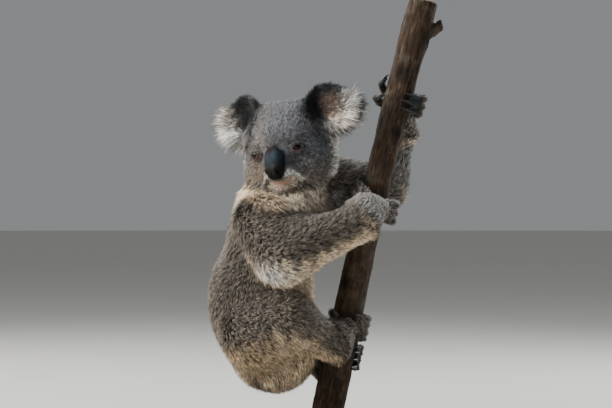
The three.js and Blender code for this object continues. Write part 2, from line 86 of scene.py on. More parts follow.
def ease(low: float | Array, high: float | Array, x: float | Array) -> float | Array:
    """Goes from 0 at low to 1 at high with a soft start and end; low may be the greater."""
    t = np.clip((x - low) / (high - low), 0.0, 1.0)
    return t * t * (3 - 2 * t)


def bell(*away: Array, power: float = 1.0) -> Array:
    """Falls from 1 in the middle; each distance is given as a share of its own spread."""
    return np.exp(-sum(one ** 2 for one in away) ** power)


def unit(vectors: Array) -> Array:
    """Scales each row to a length of 1."""
    return vectors / np.maximum(np.linalg.norm(vectors, axis=-1, keepdims=True), 1e-12)


def dots(a: Array, b: Array) -> Array:
    """The dot product of each row of a with b's."""
    return np.einsum("...i,...i->...", a, b)


def ripple(points: Array, size: float, seed: int, waves: int = 14) -> Array:
    """A smooth random field: about 0 on average, and mostly between -1 and 1.

    Args:
        points: Places.
        size: The usual width of its patches, in millimetres.
        seed: Picks one field.
        waves: How many waves make it up.

    Returns:
        One number for each place.
    """
    random = np.random.default_rng(seed)
    ways = unit(random.normal(size=(waves, 3))) * random.uniform(0.7, 1.3, (waves, 1))
    phases = points @ ways.T * math.pi / (size * MM) + random.uniform(0, 2 * math.pi, waves)
    return np.sin(phases).sum(axis=1) / math.sqrt(waves / 2)


def read(items: Sequence, key: str, each: int = 3, kind: type = float) -> Array:
    """Reads one property of many items.

    Args:
        items: A collection, such as a mesh's vertices.
        key: The property.
        each: How many numbers each item has.
        kind: The numbers' type.

    Returns:
        A row for each item.
    """
    out = np.empty(len(items) * each, kind)
    items.foreach_get(key, out)
    return out.reshape(-1, each)


def points_of(mesh: Mesh) -> Array:
    """The mesh's vertices as rows."""
    return read(mesh.vertices, "co")


def normals_of(mesh: Mesh) -> Array:
    """The mesh's vertex normals as rows."""
    return read(mesh.vertex_normals, "vector")


def move_points(mesh: Mesh, points: Array) -> None:
    """Puts the mesh's vertices at new places."""
    mesh.vertices.foreach_set("co", points.astype(np.float32).ravel())
    mesh.update()


def store(mesh: Mesh, name: str, values: Array) -> None:
    """Stores one number for each vertex as a named attribute."""
    mesh.attributes.new(name, "FLOAT", "POINT").data.foreach_set("value", values.astype(np.float32))


def only(piece: Piece) -> None:
    """Selects one piece alone and makes it active."""
    bpy.ops.object.select_all(action="DESELECT")
    piece.select_set(True)
    bpy.context.view_layer.objects.active = piece


def link(name: str, data: bpy.types.ID) -> Piece:
    """Puts a new object with this data in the scene."""
    piece = bpy.data.objects.new(name, data)
    bpy.context.scene.collection.objects.link(piece)
    return piece


def add_ball(name: str, segments: int, rings: int, radius: float = 1.0) -> Piece:
    """Adds a ball round the origin.

    Args:
        name: The new object's name.
        segments: How many faces go round it.
        rings: How many go from its top to its bottom.
        radius: Its radius.

    Returns:
        The ball.
    """
    bpy.ops.object.select_all(action="DESELECT")
    bpy.ops.mesh.primitive_uv_sphere_add(segments=segments, ring_count=rings, radius=radius)
    bpy.context.object.name = name
    return bpy.context.object


def dress(piece: Piece, material: Material) -> Piece:
    """Shades a piece smooth, gives it its finish and hands it back."""
    piece.data.shade_smooth()
    piece.data.materials.append(material)
    return piece


def add_modifier(piece: Piece, kind: str, **settings: object) -> None:
    """Adds a modifier and applies it.

    Args:
        piece: The piece to change.
        kind: The modifier's type.
        settings: Its settings.
    """
    only(piece)
    modifier = piece.modifiers.new(kind.lower(), kind)
    for key, value in settings.items():
        setattr(modifier, key, value)
    bpy.ops.object.modifier_apply(modifier=modifier.name)


def merged_copy(node: str, name: str, apart: float) -> Piece:
    """Copies a node's mesh and merges the corners that stand in one place.

    Args:
        node: The node.
        name: The copy's name.
        apart: How near corners merge, in millimetres.

    Returns:
        The copy, as a piece of its own.
    """
    piece = link(name, frame["nodes"][node].data.copy())
    piece.data.materials.clear()
    only(piece)
    bpy.ops.object.mode_set(mode="EDIT")
    bpy.ops.mesh.select_all(action="SELECT")
    bpy.ops.mesh.remove_doubles(threshold=apart * MM)
    bpy.ops.object.mode_set(mode="OBJECT")
    return piece


def middle_of(node: str) -> Array:
    """The middle of a node's box."""
    low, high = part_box(node)
    return np.array((Vector(low) + Vector(high)) / 2)


class Neighbours:
    """The edges of a mesh, for spreading values over its surface."""

    def __init__(self, mesh: Mesh) -> None:
        """Reads the edges of the mesh that the values belong to."""
        self.ends = read(mesh.edges, "vertices", 2, np.int32)
        self.count = len(mesh.vertices)
        self.degree = np.maximum(np.bincount(self.ends.ravel(), minlength=self.count), 1)

    def mean(self, values: Array) -> Array:
        """Averages over each vertex's neighbours.

        Args:
            values: One number or row for each vertex.

        Returns:
            The mean for each vertex.
        """
        if values.ndim == 2:
            return np.stack([self.mean(column) for column in values.T], axis=1)
        a, b = self.ends.T
        return (np.bincount(a, values[b], self.count) + np.bincount(b, values[a], self.count)) / self.degree

    def spread(self, values: Array, rounds: int, share: float | Array = 0.5) -> Array:
        """Evens values out over the surface.

        Args:
            values: One number or row for each vertex.
            rounds: How many times each vertex moves towards its neighbours.
            share: How far it moves each time, as one number or one for each vertex.

        Returns:
            The evened values.
        """
        pace = share[:, None] if np.ndim(share) and values.ndim == 2 else share
        for _ in range(rounds):
            values = values + (self.mean(values) - values) * pace
        return values


# ---- finishes ----

class Shader:
    """One material in the making: nodes that lead to a Principled shader."""

    def __init__(self, name: str, **constants: float) -> None:
        """Starts the material.

        Args:
            name: The finish's name.
            constants: The shader's socket names, with underscores for spaces, and their values.
        """
        self.material = bpy.data.materials.new(name)
        self.material.use_nodes = True
        self.material.node_tree.nodes.clear()
        inputs = {key.replace("_", " "): value for key, value in constants.items()}
        surface = self.add("BsdfPrincipled", inputs)
        self.sockets = surface.node.inputs
        self.add("OutputMaterial", {"Surface": surface})
        self.place = self.add("TexCoord", out="Object")

    def add(self, kind: str, inputs: dict | None = None, out: int | str = 0,
            **settings: object) -> Socket | None:
        """Adds one node.

        Args:
            kind: The node's type name without its ShaderNode prefix.
            inputs: Each input's name or number, with a value or another node's output to link.
            out: Which of its outputs to hand back.
            settings: The node's own properties.

        Returns:
            That output.
        """
        node = self.material.node_tree.nodes.new("ShaderNode" + kind)
        for key, value in settings.items():
            setattr(node, key, value)
        for key, value in (inputs or {}).items():
            if isinstance(value, bpy.types.NodeSocket):
                self.material.node_tree.links.new(value, node.inputs[key])
            else:
                node.inputs[key].default_value = value
        return node.outputs[out] if node.outputs else None

    def mark(self, name: str) -> Socket:
        """The number that the mesh stores under a name."""
        return self.add("Attribute", out="Fac", attribute_name=name)

    def noise(self, scale: float, detail: float = 2.0, of: Socket | None = None, **more: float) -> Socket:
        """Smooth noise over the object, or over other places."""
        return self.add("TexNoise", {"Vector": of or self.place, "Scale": scale, "Detail": detail, **more})

    def stretch(self, of: Socket, scale: tuple[float, float, float]) -> Socket:
        """Places scaled along each axis."""
        return self.add("Mapping", {"Vector": of, "Scale": scale})

    def ramp(self, value: Socket, low: float, high: float, first: float = 0.0, last: float = 1.0) -> Socket:
        """Maps the range from low to high onto the range from first to last."""
        return self.add("MapRange", {0: value, 1: low, 2: high, 3: first, 4: last})

    def mix(self, share: Socket | float, a: Socket | str, b: Socket | str, blend: str = "MIX") -> Socket:
        """Mixes two colours, each a socket or a hex value."""
        a, b = (linear(one) if isinstance(one, str) else one for one in (a, b))
        return self.add("Mix", {0: share, 6: a, 7: b}, 2, data_type="RGBA", blend_type=blend)

    def dim(self, colour: Socket, factor: Socket) -> Socket:
        """Multiplies a colour by a number."""
        return self.mix(1.0, colour, self.add("CombineColor", {0: factor, 1: factor, 2: factor}), "MULTIPLY")

    def bump(self, height: Socket, depth: float, strength: float) -> None:
        """Lets a height drive the shader's normal, with its depth in millimetres."""
        normal = self.add("Bump", {"Height": height, "Distance": depth * MM, "Strength": strength})
        self.material.node_tree.links.new(normal, self.sockets["Normal"])

    def done(self, colour: Socket, roughness: Socket | None = None) -> Material:
        """Links the colour, and the roughness if it varies.

        Args:
            colour: The surface's colour.
            roughness: Its roughness.

        Returns:
            The finished material.
        """
        self.material.node_tree.links.new(colour, self.sockets["Base Color"])
        if roughness:
            self.material.node_tree.links.new(roughness, self.sockets["Roughness"])
        return self.material


@dataclass(frozen=True)
class FurFinish:
    """Keratin hair, banded along its length: black at the root and palest below a darker tip."""

    # Besides the fur's own colours, cool, white and dark also carry painted light from the skin's marks:
    # dark and cool paint shade on the face's side away from the light, on the body's side and on the limbs;
    # white is partly a painted highlight beside the muzzle; cool and white on the far forearm are partly
    # painted cool light from behind.
    grey: str = "786F65"
    cool: str = "6E7076"
    cream: str = "F2D8B6"
    white: str = "FBF8F2"
    tan: str = "BE9C72"
    dark: str = "131415"
    slate: str = "2D3236"
    root: float = 0.12
    band: float = 1.16
    tip: float = 0.82
    fleck_mm: float = 9.0

    def make(self) -> Material:
        """Builds the material from the coat's stored markings.

        Returns:
            The material.
        """
        made = Shader("koala_fur", Roughness=0.6, IOR=1.55, Specular_IOR_Level=0.18, Sheen_Weight=0.06,
                      Sheen_Roughness=0.5)
        colour, along = self.markings(made), made.mark("along")
        for factor in (made.ramp(made.noise(1 / (self.fleck_mm * MM), 3.0), 0.36, 0.64, 0.78, 1.18),
                       made.ramp(made.mark("shade"), 0.0, 1.0, 0.16, 1.72),
                       made.ramp(along, 0.05, 0.62, self.root, self.band),
                       made.ramp(along, 0.7, 1.0, 1.0, self.tip / self.band)):
            colour = made.dim(colour, factor)
        return made.done(colour)

    def markings(self, made: Shader) -> Socket:
        """Mixes the coat's colours by the markings that the mesh stores.

        Args:
            made: The material in the making.

        Returns:
            The colour, from grey through the other markings to the bare digits' slate.
        """
        colour = self.grey
        for name in ("cool", "tan", "cream", "white", "dark"):
            colour = made.mix(made.mark(name), colour, getattr(self, name))
        return made.mix(made.mark("digit"), colour, self.slate)


@dataclass(frozen=True)
class SkinFinish:
    """Thin skin under a woolly undercoat: the coat's markings, darker, and bare pink at lids and lips."""

    coat: FurFinish
    lip: str = "B78D7F"
    lid: str = "6E5452"
    wool_mm: float = 2.2

    def make(self) -> Material:
        """Builds the material.

        Returns:
            The material.
        """
        made = Shader("koala_skin", Roughness=0.8, IOR=1.42, Specular_IOR_Level=0.3)
        wool = made.noise(1 / (self.wool_mm * MM), 4.0)
        colour = made.dim(self.coat.markings(made), made.ramp(wool, 0.3, 0.7, 0.2, 0.5))
        colour = made.mix(made.mark("digit"), colour, self.coat.slate)
        pink = made.mix(made.ramp(made.mark("eyes"), 0.05, 0.4), self.lip, self.lid)
        made.bump(wool, 0.8, 0.6)
        return made.done(made.mix(made.mark("bare"), colour, pink),
                         made.ramp(made.mark("digit"), 0.0, 1.0, 0.8, 0.42))


@dataclass(frozen=True)
class NosePadFinish:
    """Bare leathery skin, finely pebbled, with a satin shine; slate at the top, which is a painted sky
    reflection, and brown-black below, with painted shade along the top rim.
    """

    # slate is the painted reflection of the sky on the pad's top.
    slate: str = "2A3640"
    brown: str = "14100E"
    pebble_mm: float = 1.6

    def make(self) -> Material:
        """Builds the material from the pad's stored height.

        Returns:
            The material.
        """
        made = Shader("nose_leather", Roughness=0.6, IOR=1.45, Specular_IOR_Level=0.2)
        cloud = made.noise(90.0, 3.0)
        # Painted reflection: the upper pad takes the sky's slate-blue, fading to brown-black below.
        colour = made.mix(made.ramp(made.mark("low"), 0.35, 0.75), self.slate, self.brown)
        colour = made.mix(made.ramp(cloud, 0.4, 0.7, 0.0, 0.35), colour, self.brown)
        # Painted shade: brown-black along the pad's upper rim, where it meets the fur.
        colour = made.mix(made.mark("edge"), colour, self.brown)
        pebble = made.add("TexVoronoi", {"Vector": made.place, "Scale": 1 / (self.pebble_mm * MM)})
        made.bump(pebble, 0.25, 0.5)
        return made.done(colour, made.ramp(cloud, 0.3, 0.7, 0.52, 0.7))


@dataclass(frozen=True)
class EyeFinish:
    """A wet eye: brown iris with fine rays, an upright slit of a pupil and a clear, glossy cornea."""

    iris: str = "1C0F09"
    rim: str = "080504"
    pupil: str = "030303"

    def make(self) -> Material:
        """Builds the material from the eye's stored iris and slit distances.

        Returns:
            The material.
        """
        made = Shader("wet_eye", Roughness=0.2, IOR=1.376, Specular_IOR_Level=0.2, Coat_Weight=0.25,
                      Coat_Roughness=0.03)
        colour = made.mix(made.ramp(made.noise(900.0), 0.35, 0.65, 0.0, 0.5), self.iris, self.rim)
        colour = made.mix(made.ramp(made.mark("ring"), 0.72, 0.95), colour, self.rim)
        return made.done(made.mix(made.ramp(made.mark("slit"), 0.9, 1.1, 1.0, 0.0), colour, self.pupil))


@dataclass(frozen=True)
class ClawFinish:
    """Keratin horn, near black, polished by climbing and faintly streaked along its length."""

    horn: str = "171416"
    streak: str = "3B3230"

    def make(self) -> Material:
        """Builds the material.

        Returns:
            The material.
        """
        made = Shader("claw_horn", Roughness=0.3, IOR=1.55)
        streak = made.noise(420.0)
        return made.done(made.mix(made.ramp(streak, 0.45, 0.75), self.horn, self.streak),
                         made.ramp(streak, 0.3, 0.7, 0.24, 0.42))


@dataclass(frozen=True)
class BarkFinish:
    """Rough eucalypt bark: short fibres and long cracks in greyed browns, dark knots, pale sawn ends."""

    lean: float
    warm: str = "54402F"
    pale: str = "8C7660"
    grey: str = "5E5A4E"
    deep: str = "1C140E"
    wood: str = "C6A57C"
    ring: str = "94704A"
    fibre_mm: float = 3.8
    plate_mm: float = 9.0
    wander_mm: float = 14.0

    def make(self) -> Material:
        """Builds the material, with its fibres along the trunk's axis.

        Returns:
            The material.
        """
        made = Shader("stringy_bark", Roughness=0.86, IOR=1.5, Specular_IOR_Level=0.3)
        upright = (0.0, -math.radians(self.lean), 0.0)
        straight = made.add("Mapping", {"Vector": made.place, "Rotation": upright})
        drawn_out = made.stretch(straight, (1.0, 1.0, 0.16))
        fibre = made.noise(1 / (self.fibre_mm * MM), 5.0, drawn_out, Roughness=0.62)
        blotch = made.noise(26.0, 4.0, straight)
        crack = self.cracks(made, made.stretch(straight, (1.0, 1.0, 0.17)))
        colour = made.mix(made.ramp(fibre, 0.34, 0.62), self.deep, self.warm)
        for share, other in ((made.ramp(fibre, 0.6, 0.78, 0.0, 0.8), self.pale),
                             (made.ramp(blotch, 0.42, 0.7, 0.0, 0.55), self.deep),
                             (made.ramp(blotch, 0.48, 0.3, 0.0, 0.6), self.grey),
                             (made.ramp(crack, 0.0, 1.0, 0.38, 0.0), self.deep),
                             (made.mark("knot"), self.deep)):
            colour = made.mix(share, colour, other)
        grain = made.add("TexWave", {"Vector": straight, "Scale": 55.0, "Distortion": 2.5, "Detail": 2.0}, 1,
                         wave_type="RINGS", rings_direction="Z")
        height = made.add("Math", {0: crack, 1: 0.25, 2: fibre}, operation="MULTIPLY_ADD")
        made.bump(height, 1.6, 0.9)
        return made.done(made.mix(made.mark("sawn"), colour, made.mix(grain, self.wood, self.ring)))

    def cracks(self, made: Shader, place: Socket) -> Socket:
        """Finds the wandering cracks between plates of bark.

        Args:
            made: The material in the making.
            place: Places along the trunk, drawn out along it.

        Returns:
            0 in a crack and 1 away from it.
        """
        size = 1 / (self.plate_mm * MM)
        wander = made.noise(size, of=place).node.outputs[1]
        bent = made.add("VectorMath", {0: wander, 1: (self.wander_mm * MM,) * 3, 2: place},
                        operation="MULTIPLY_ADD")
        edge = made.add("TexVoronoi", {"Vector": bent, "Scale": size}, feature="DISTANCE_TO_EDGE")
        return made.ramp(edge, 0.0, 0.1)


@dataclass(frozen=True)
class BoardFinish:
    """Beech board under black satin lacquer: the grain shows only as faint ripples in the shine."""

    lacquer: str = "222224"
    worn: str = "3A3734"

    def make(self) -> Material:
        """Builds the material.

        Returns:
            The material.
        """
        made = Shader("lacquered_board", Roughness=0.38, IOR=1.5, Coat_Weight=0.25, Coat_Roughness=0.2)
        grain = made.noise(3.0, 4.0, made.stretch(made.place, (4.0, 120.0, 40.0)))
        made.bump(grain, 0.15, 0.5)
        return made.done(made.mix(made.ramp(grain, 0.45, 0.75, 0.0, 0.6), self.lacquer, self.worn),
                         made.ramp(grain, 0.3, 0.7, 0.32, 0.46))


@dataclass(frozen=True)
class SteelFinish:
    """Turned steel, brushed round its axis."""

    steel: str = "B9BABC"
    scratch: str = "77787A"

    def make(self) -> Material:
        """Builds the material.

        Returns:
            The material.
        """
        made = Shader("brushed_steel", Metallic=1.0, Roughness=0.3)
        brush = made.noise(1.0, 3.0, made.stretch(made.place, (20.0, 20.0, 2500.0)))
        return made.done(made.mix(made.ramp(brush, 0.3, 0.7, 0.0, 0.35), self.steel, self.scratch),
                         made.ramp(brush, 0.3, 0.7, 0.22, 0.42))


@dataclass(frozen=True)
class FloorFinish:
    """Matt painted studio floor, very faintly mottled."""

    paint: str = "DAD8D2"
    shade: str = "B8B6B0"

    def make(self) -> Material:
        """Builds the material.

        Returns:
            The material.
        """
        made = Shader("studio_floor", Roughness=0.9, Specular_IOR_Level=0.2)
        return made.done(made.mix(made.ramp(made.noise(6.0), 0.3, 0.7, 0.0, 0.06), self.paint, self.shade))


# ---- stage ----

@dataclass
class Stage:
    """The camera, the lights and the floor."""

    scale: float = 540.0                  # how much of the view's width a metre takes at the trunk
    distance: float = 3.7
    view_width: int = 612
    middle: tuple[float, float] = (0.0044, 0.4450)
    aim: tuple[float, float, float] = (0.0, 0.0, 0.42)
    floor_radius: float = 30.0

    def build(self) -> None:
        """Makes everything that isn't part of the object."""
        self.add_camera()
        self.add_lights()
        self.add_floor()

    def add_camera(self) -> None:
        """Looks level along +Y with a long lens."""
        data = bpy.data.cameras.new("camera")
        data.lens = self.scale * self.distance / self.view_width * data.sensor_width
        data.clip_end = 200.0
        camera = link("camera", data)
        camera.location = (self.middle[0], -self.distance, self.middle[1])
        camera.rotation_euler = (math.pi / 2, 0, 0)
        bpy.context.scene.camera = camera

    def add_lights(self) -> None:
        """A warm key from the left, a cool one from above, and a rim light from behind on each side."""
        for name, place, size, power, colour in (
                ("key", (-3.1, -1.4, 2.1), 1.1, 145.0, (1.0, 0.95, 0.88)),
                ("sky", (-0.9, -0.6, 3.4), 1.6, 70.0, (0.86, 0.93, 1.0)),
                ("rim_left", (-1.8, 1.9, 1.9), 0.9, 40.0, (1.0, 0.99, 0.96)),
                ("rim_right", (1.9, 1.5, 1.6), 0.9, 50.0, (0.93, 0.97, 1.0))):
            data = bpy.data.lights.new(name, "AREA")
            data.shape, data.size, data.energy, data.color = "DISK", size, power, colour
            lamp = link(name, data)
            lamp.location = place
            lamp.rotation_euler = (Vector(self.aim) - Vector(place)).to_track_quat("-Z", "Y").to_euler()
        world = bpy.data.worlds.new("studio")
        world.use_nodes = True
        sky = world.node_tree.nodes["Background"].inputs
        sky["Color"].default_value, sky["Strength"].default_value = linear("E4E6E8"), 0.32
        bpy.context.scene.world = world

    def add_floor(self) -> None:
        """A wide round floor at the stand's underside."""
        bpy.ops.mesh.primitive_circle_add(vertices=96, radius=self.floor_radius, fill_type="NGON")
        floor = bpy.context.object
        floor.name = "studio_floor"
        floor.data.materials.append(FloorFinish().make())


# ---- the head's own frame ----

@dataclass
class HeadFrame:
    """Places on the head, found from its eyes and pose: forward, to its left, and up, in millimetres."""

    turn: float = -115.0
    nod: float = 3.0
    tilt: float = 10.0
    eye_forward: float = 62.0
    eye_up: float = -6.0
    eye_radius: float = 8.5
    axes: Matrix = field(init=False)
    centre: Vector = field(init=False)

    def __post_init__(self) -> None:
        """Finds the head's middle from the eyes."""
        self.axes = rotation(self.tilt, self.nod, self.turn)
        between = (Vector(middle_of("eye_left")) + Vector(middle_of("eye_right"))) / 2
        self.centre = between - self.axes @ Vector((self.eye_forward, 0, self.eye_up)) * MM

    def at(self, forward: float, left: float, up: float) -> Array:
        """The place in the room of a place on the head."""
        return np.array(self.centre + self.axes @ (Vector((forward, left, up)) * MM))

    def way(self, forward: float, left: float, up: float) -> Array:
        """The direction in the room of a direction on the head."""
        return np.array((self.axes @ Vector((forward, left, up))).normalized())

    def local(self, points: Array) -> Array:
        """Turns places in the room into forward, left and up on the head, in millimetres."""
        return (points - np.array(self.centre)) @ np.array(self.axes) / MM


def rotation(x: float, y: float, z: float) -> Matrix:
    """The turn by three angles in degrees about X, then Y, then Z."""
    return Euler((math.radians(x), math.radians(y), math.radians(z)), "XYZ").to_matrix()


# ---- flesh ----

class Region(Enum):
    """Parts of the skin that differ in coat."""

    HEAD = "head"
    NECK = "neck"
    TRUNK = "trunk"
    UPPER_ARM = "upper_arm"
    FOREARM = "forearm"
    HAND = "hand"
    THIGH = "thigh"
    SHANK = "shank"
    FOOT = "foot"


ORDER = list(Region)
PAWS = (Region.HAND, Region.FOOT)
CHAINS = ((Region.UPPER_ARM, Region.FOREARM, Region.HAND), (Region.THIGH, Region.SHANK, Region.FOOT))
FLESH: dict[str, Region] = {
    "head": Region.HEAD, "neck": Region.NECK, "trunk": Region.TRUNK,
    **{f"{part.value}_{side}": part for chain in CHAINS for part in chain[:2] for side in SIDES},
    **{f"{side}_{paw.value}": paw for paw in PAWS for side in SIDES},
}


@dataclass(frozen=True)
class CoatLie:
    """A region's coat: its depth, its tufts' length and width in millimetres, their lift in degrees."""

    depth: float
    length: float
    width: float
    lift: float
    density: float = 1.0


LIES: dict[Region, CoatLie] = {
    Region.HEAD: CoatLie(5.5, 8.5, 0.95, 34, 1.4),
    Region.NECK: CoatLie(11.5, 19.0, 1.5, 38),
    Region.TRUNK: CoatLie(11.0, 16.5, 1.5, 44),
    Region.UPPER_ARM: CoatLie(10.0, 16.0, 1.45, 42),
    Region.FOREARM: CoatLie(9.0, 15.0, 1.4, 40),
    Region.HAND: CoatLie(1.6, 10.0, 1.3, 22, 1.5),
    Region.THIGH: CoatLie(11.0, 17.0, 1.5, 42),
    Region.SHANK: CoatLie(8.0, 14.0, 1.4, 38),
    Region.FOOT: CoatLie(1.6, 10.0, 1.3, 22, 1.5),
}


@dataclass(frozen=True)
class Spot:
    """A soft oval form or mark on both halves of the face, in millimetres to the side and up."""

    side: float
    up: float
    wide: float
    tall: float
    amount: float = 1.0
    power: float = 1.0

    def on(self, side: Array, up: Array) -> Array:
        """How strong it is at each place."""
        across, along = (side - self.side) / self.wide, (up - self.up) / self.tall
        return self.amount * bell(across, along, power=self.power)


@dataclass
class Ear:
    """One ear: a thin round cup of gristle, well inside its fringe."""

    side: str
    out: float
    up: float
    turn: float
    forward: float = 3.0
    pitch: float = -8.0
    radius: float = 38.5
    half_thickness: float = 5.0
    hollow: float = 15.0
    roll: float = 4.0
    base: tuple[float, float, float] = (20.0, 62.0, 56.0)
    bare: float = 1.0
    crown: float = -0.3
    hang: float = -48.0
    spread: float = 74.0
    fringe: float = 28.0
    pale: float = 0.56

    @property
    def sign(self) -> int:
        """1 for the left ear and -1 for the right."""
        return 1 if self.side == "left" else -1

    def place(self, head: HeadFrame) -> tuple[Array, Array]:
        """Where the cup's middle is and how it is turned: X out of the cup, Z up."""
        axes = head.axes @ rotation(0, self.pitch, self.sign * self.turn)
        return head.at(self.forward, self.sign * self.out, self.up), np.array(axes)

    def local(self, points: Array, head: HeadFrame) -> tuple[Array, Array, Array]:
        """Reads places on the cup.

        Args:
            points: Places in the room.
            head: The head's frame.

        Returns:
            How far out of the cup each is in millimetres, its distance from the middle as a share of the
            radius, and its angle in degrees: 0 away from the head, 90 at the top, 180 towards the crown.
        """
        middle, axes = self.place(head)
        x, y, z = ((points - middle) @ axes / MM).T
        return x, np.hypot(y, z) / self.radius, np.degrees(np.arctan2(z, y * self.sign))

    def fringed(self, angle: Array) -> Array:
        """Nearness of an angle to the fringe's middle: 1 there and 0 well outside the fringe."""
        away = np.abs((angle - self.hang + 180) % 360 - 180)
        return 1 - ease(self.spread * 0.5, self.spread * 1.5, away)

    def build(self, head: HeadFrame) -> Piece:
        """Makes the cup, to be fused with the skin.

        Args:
            head: The head's frame.

        Returns:
            The cup as an object of its own.
        """
        middle, axes = self.place(head)
        cup = add_ball("ear_cup", 48, 32)
        x, y, z = points_of(cup.data).T
        across = np.hypot(y, z)
        bowl = self.hollow * (across ** 2 - 0.6)
        x = x * self.half_thickness + bowl + self.roll * bell((across - 0.92) / 0.1)
        move_points(cup.data, np.stack([x, y * self.radius, z * self.radius], axis=1) * MM @ axes.T + middle)
        return cup


EARS = (
    Ear("left", out=89.0, up=58.0, turn=36.0),
    Ear("right", out=72.0, up=68.0, turn=25.0, base=(24.0, 56.0, 76.0), bare=0.0, crown=0.72, hang=-50.0,
        spread=80.0, fringe=30.0, pale=0.82),
)


def claw_line(node: str) -> tuple[Array, Array]:
    """Finds where a claw leaves its digit.

    Args:
        node: The claw's solid.

    Returns:
        The middle of the claw's root, and the way from there towards its point.
    """
    points = points_of(frame["nodes"][node].data)
    middle = points.mean(axis=0)
    axis = np.linalg.svd(points - middle, full_matrices=False)[2][0]
    along = (points - middle) @ axis
    first, last = (np.linalg.norm(np.cross(points[half] - middle, axis), axis=1).max()
                   for half in (along < 0, along > 0))
    if first < last:
        axis, along = -axis, -along
    return middle + axis * along.min(), axis


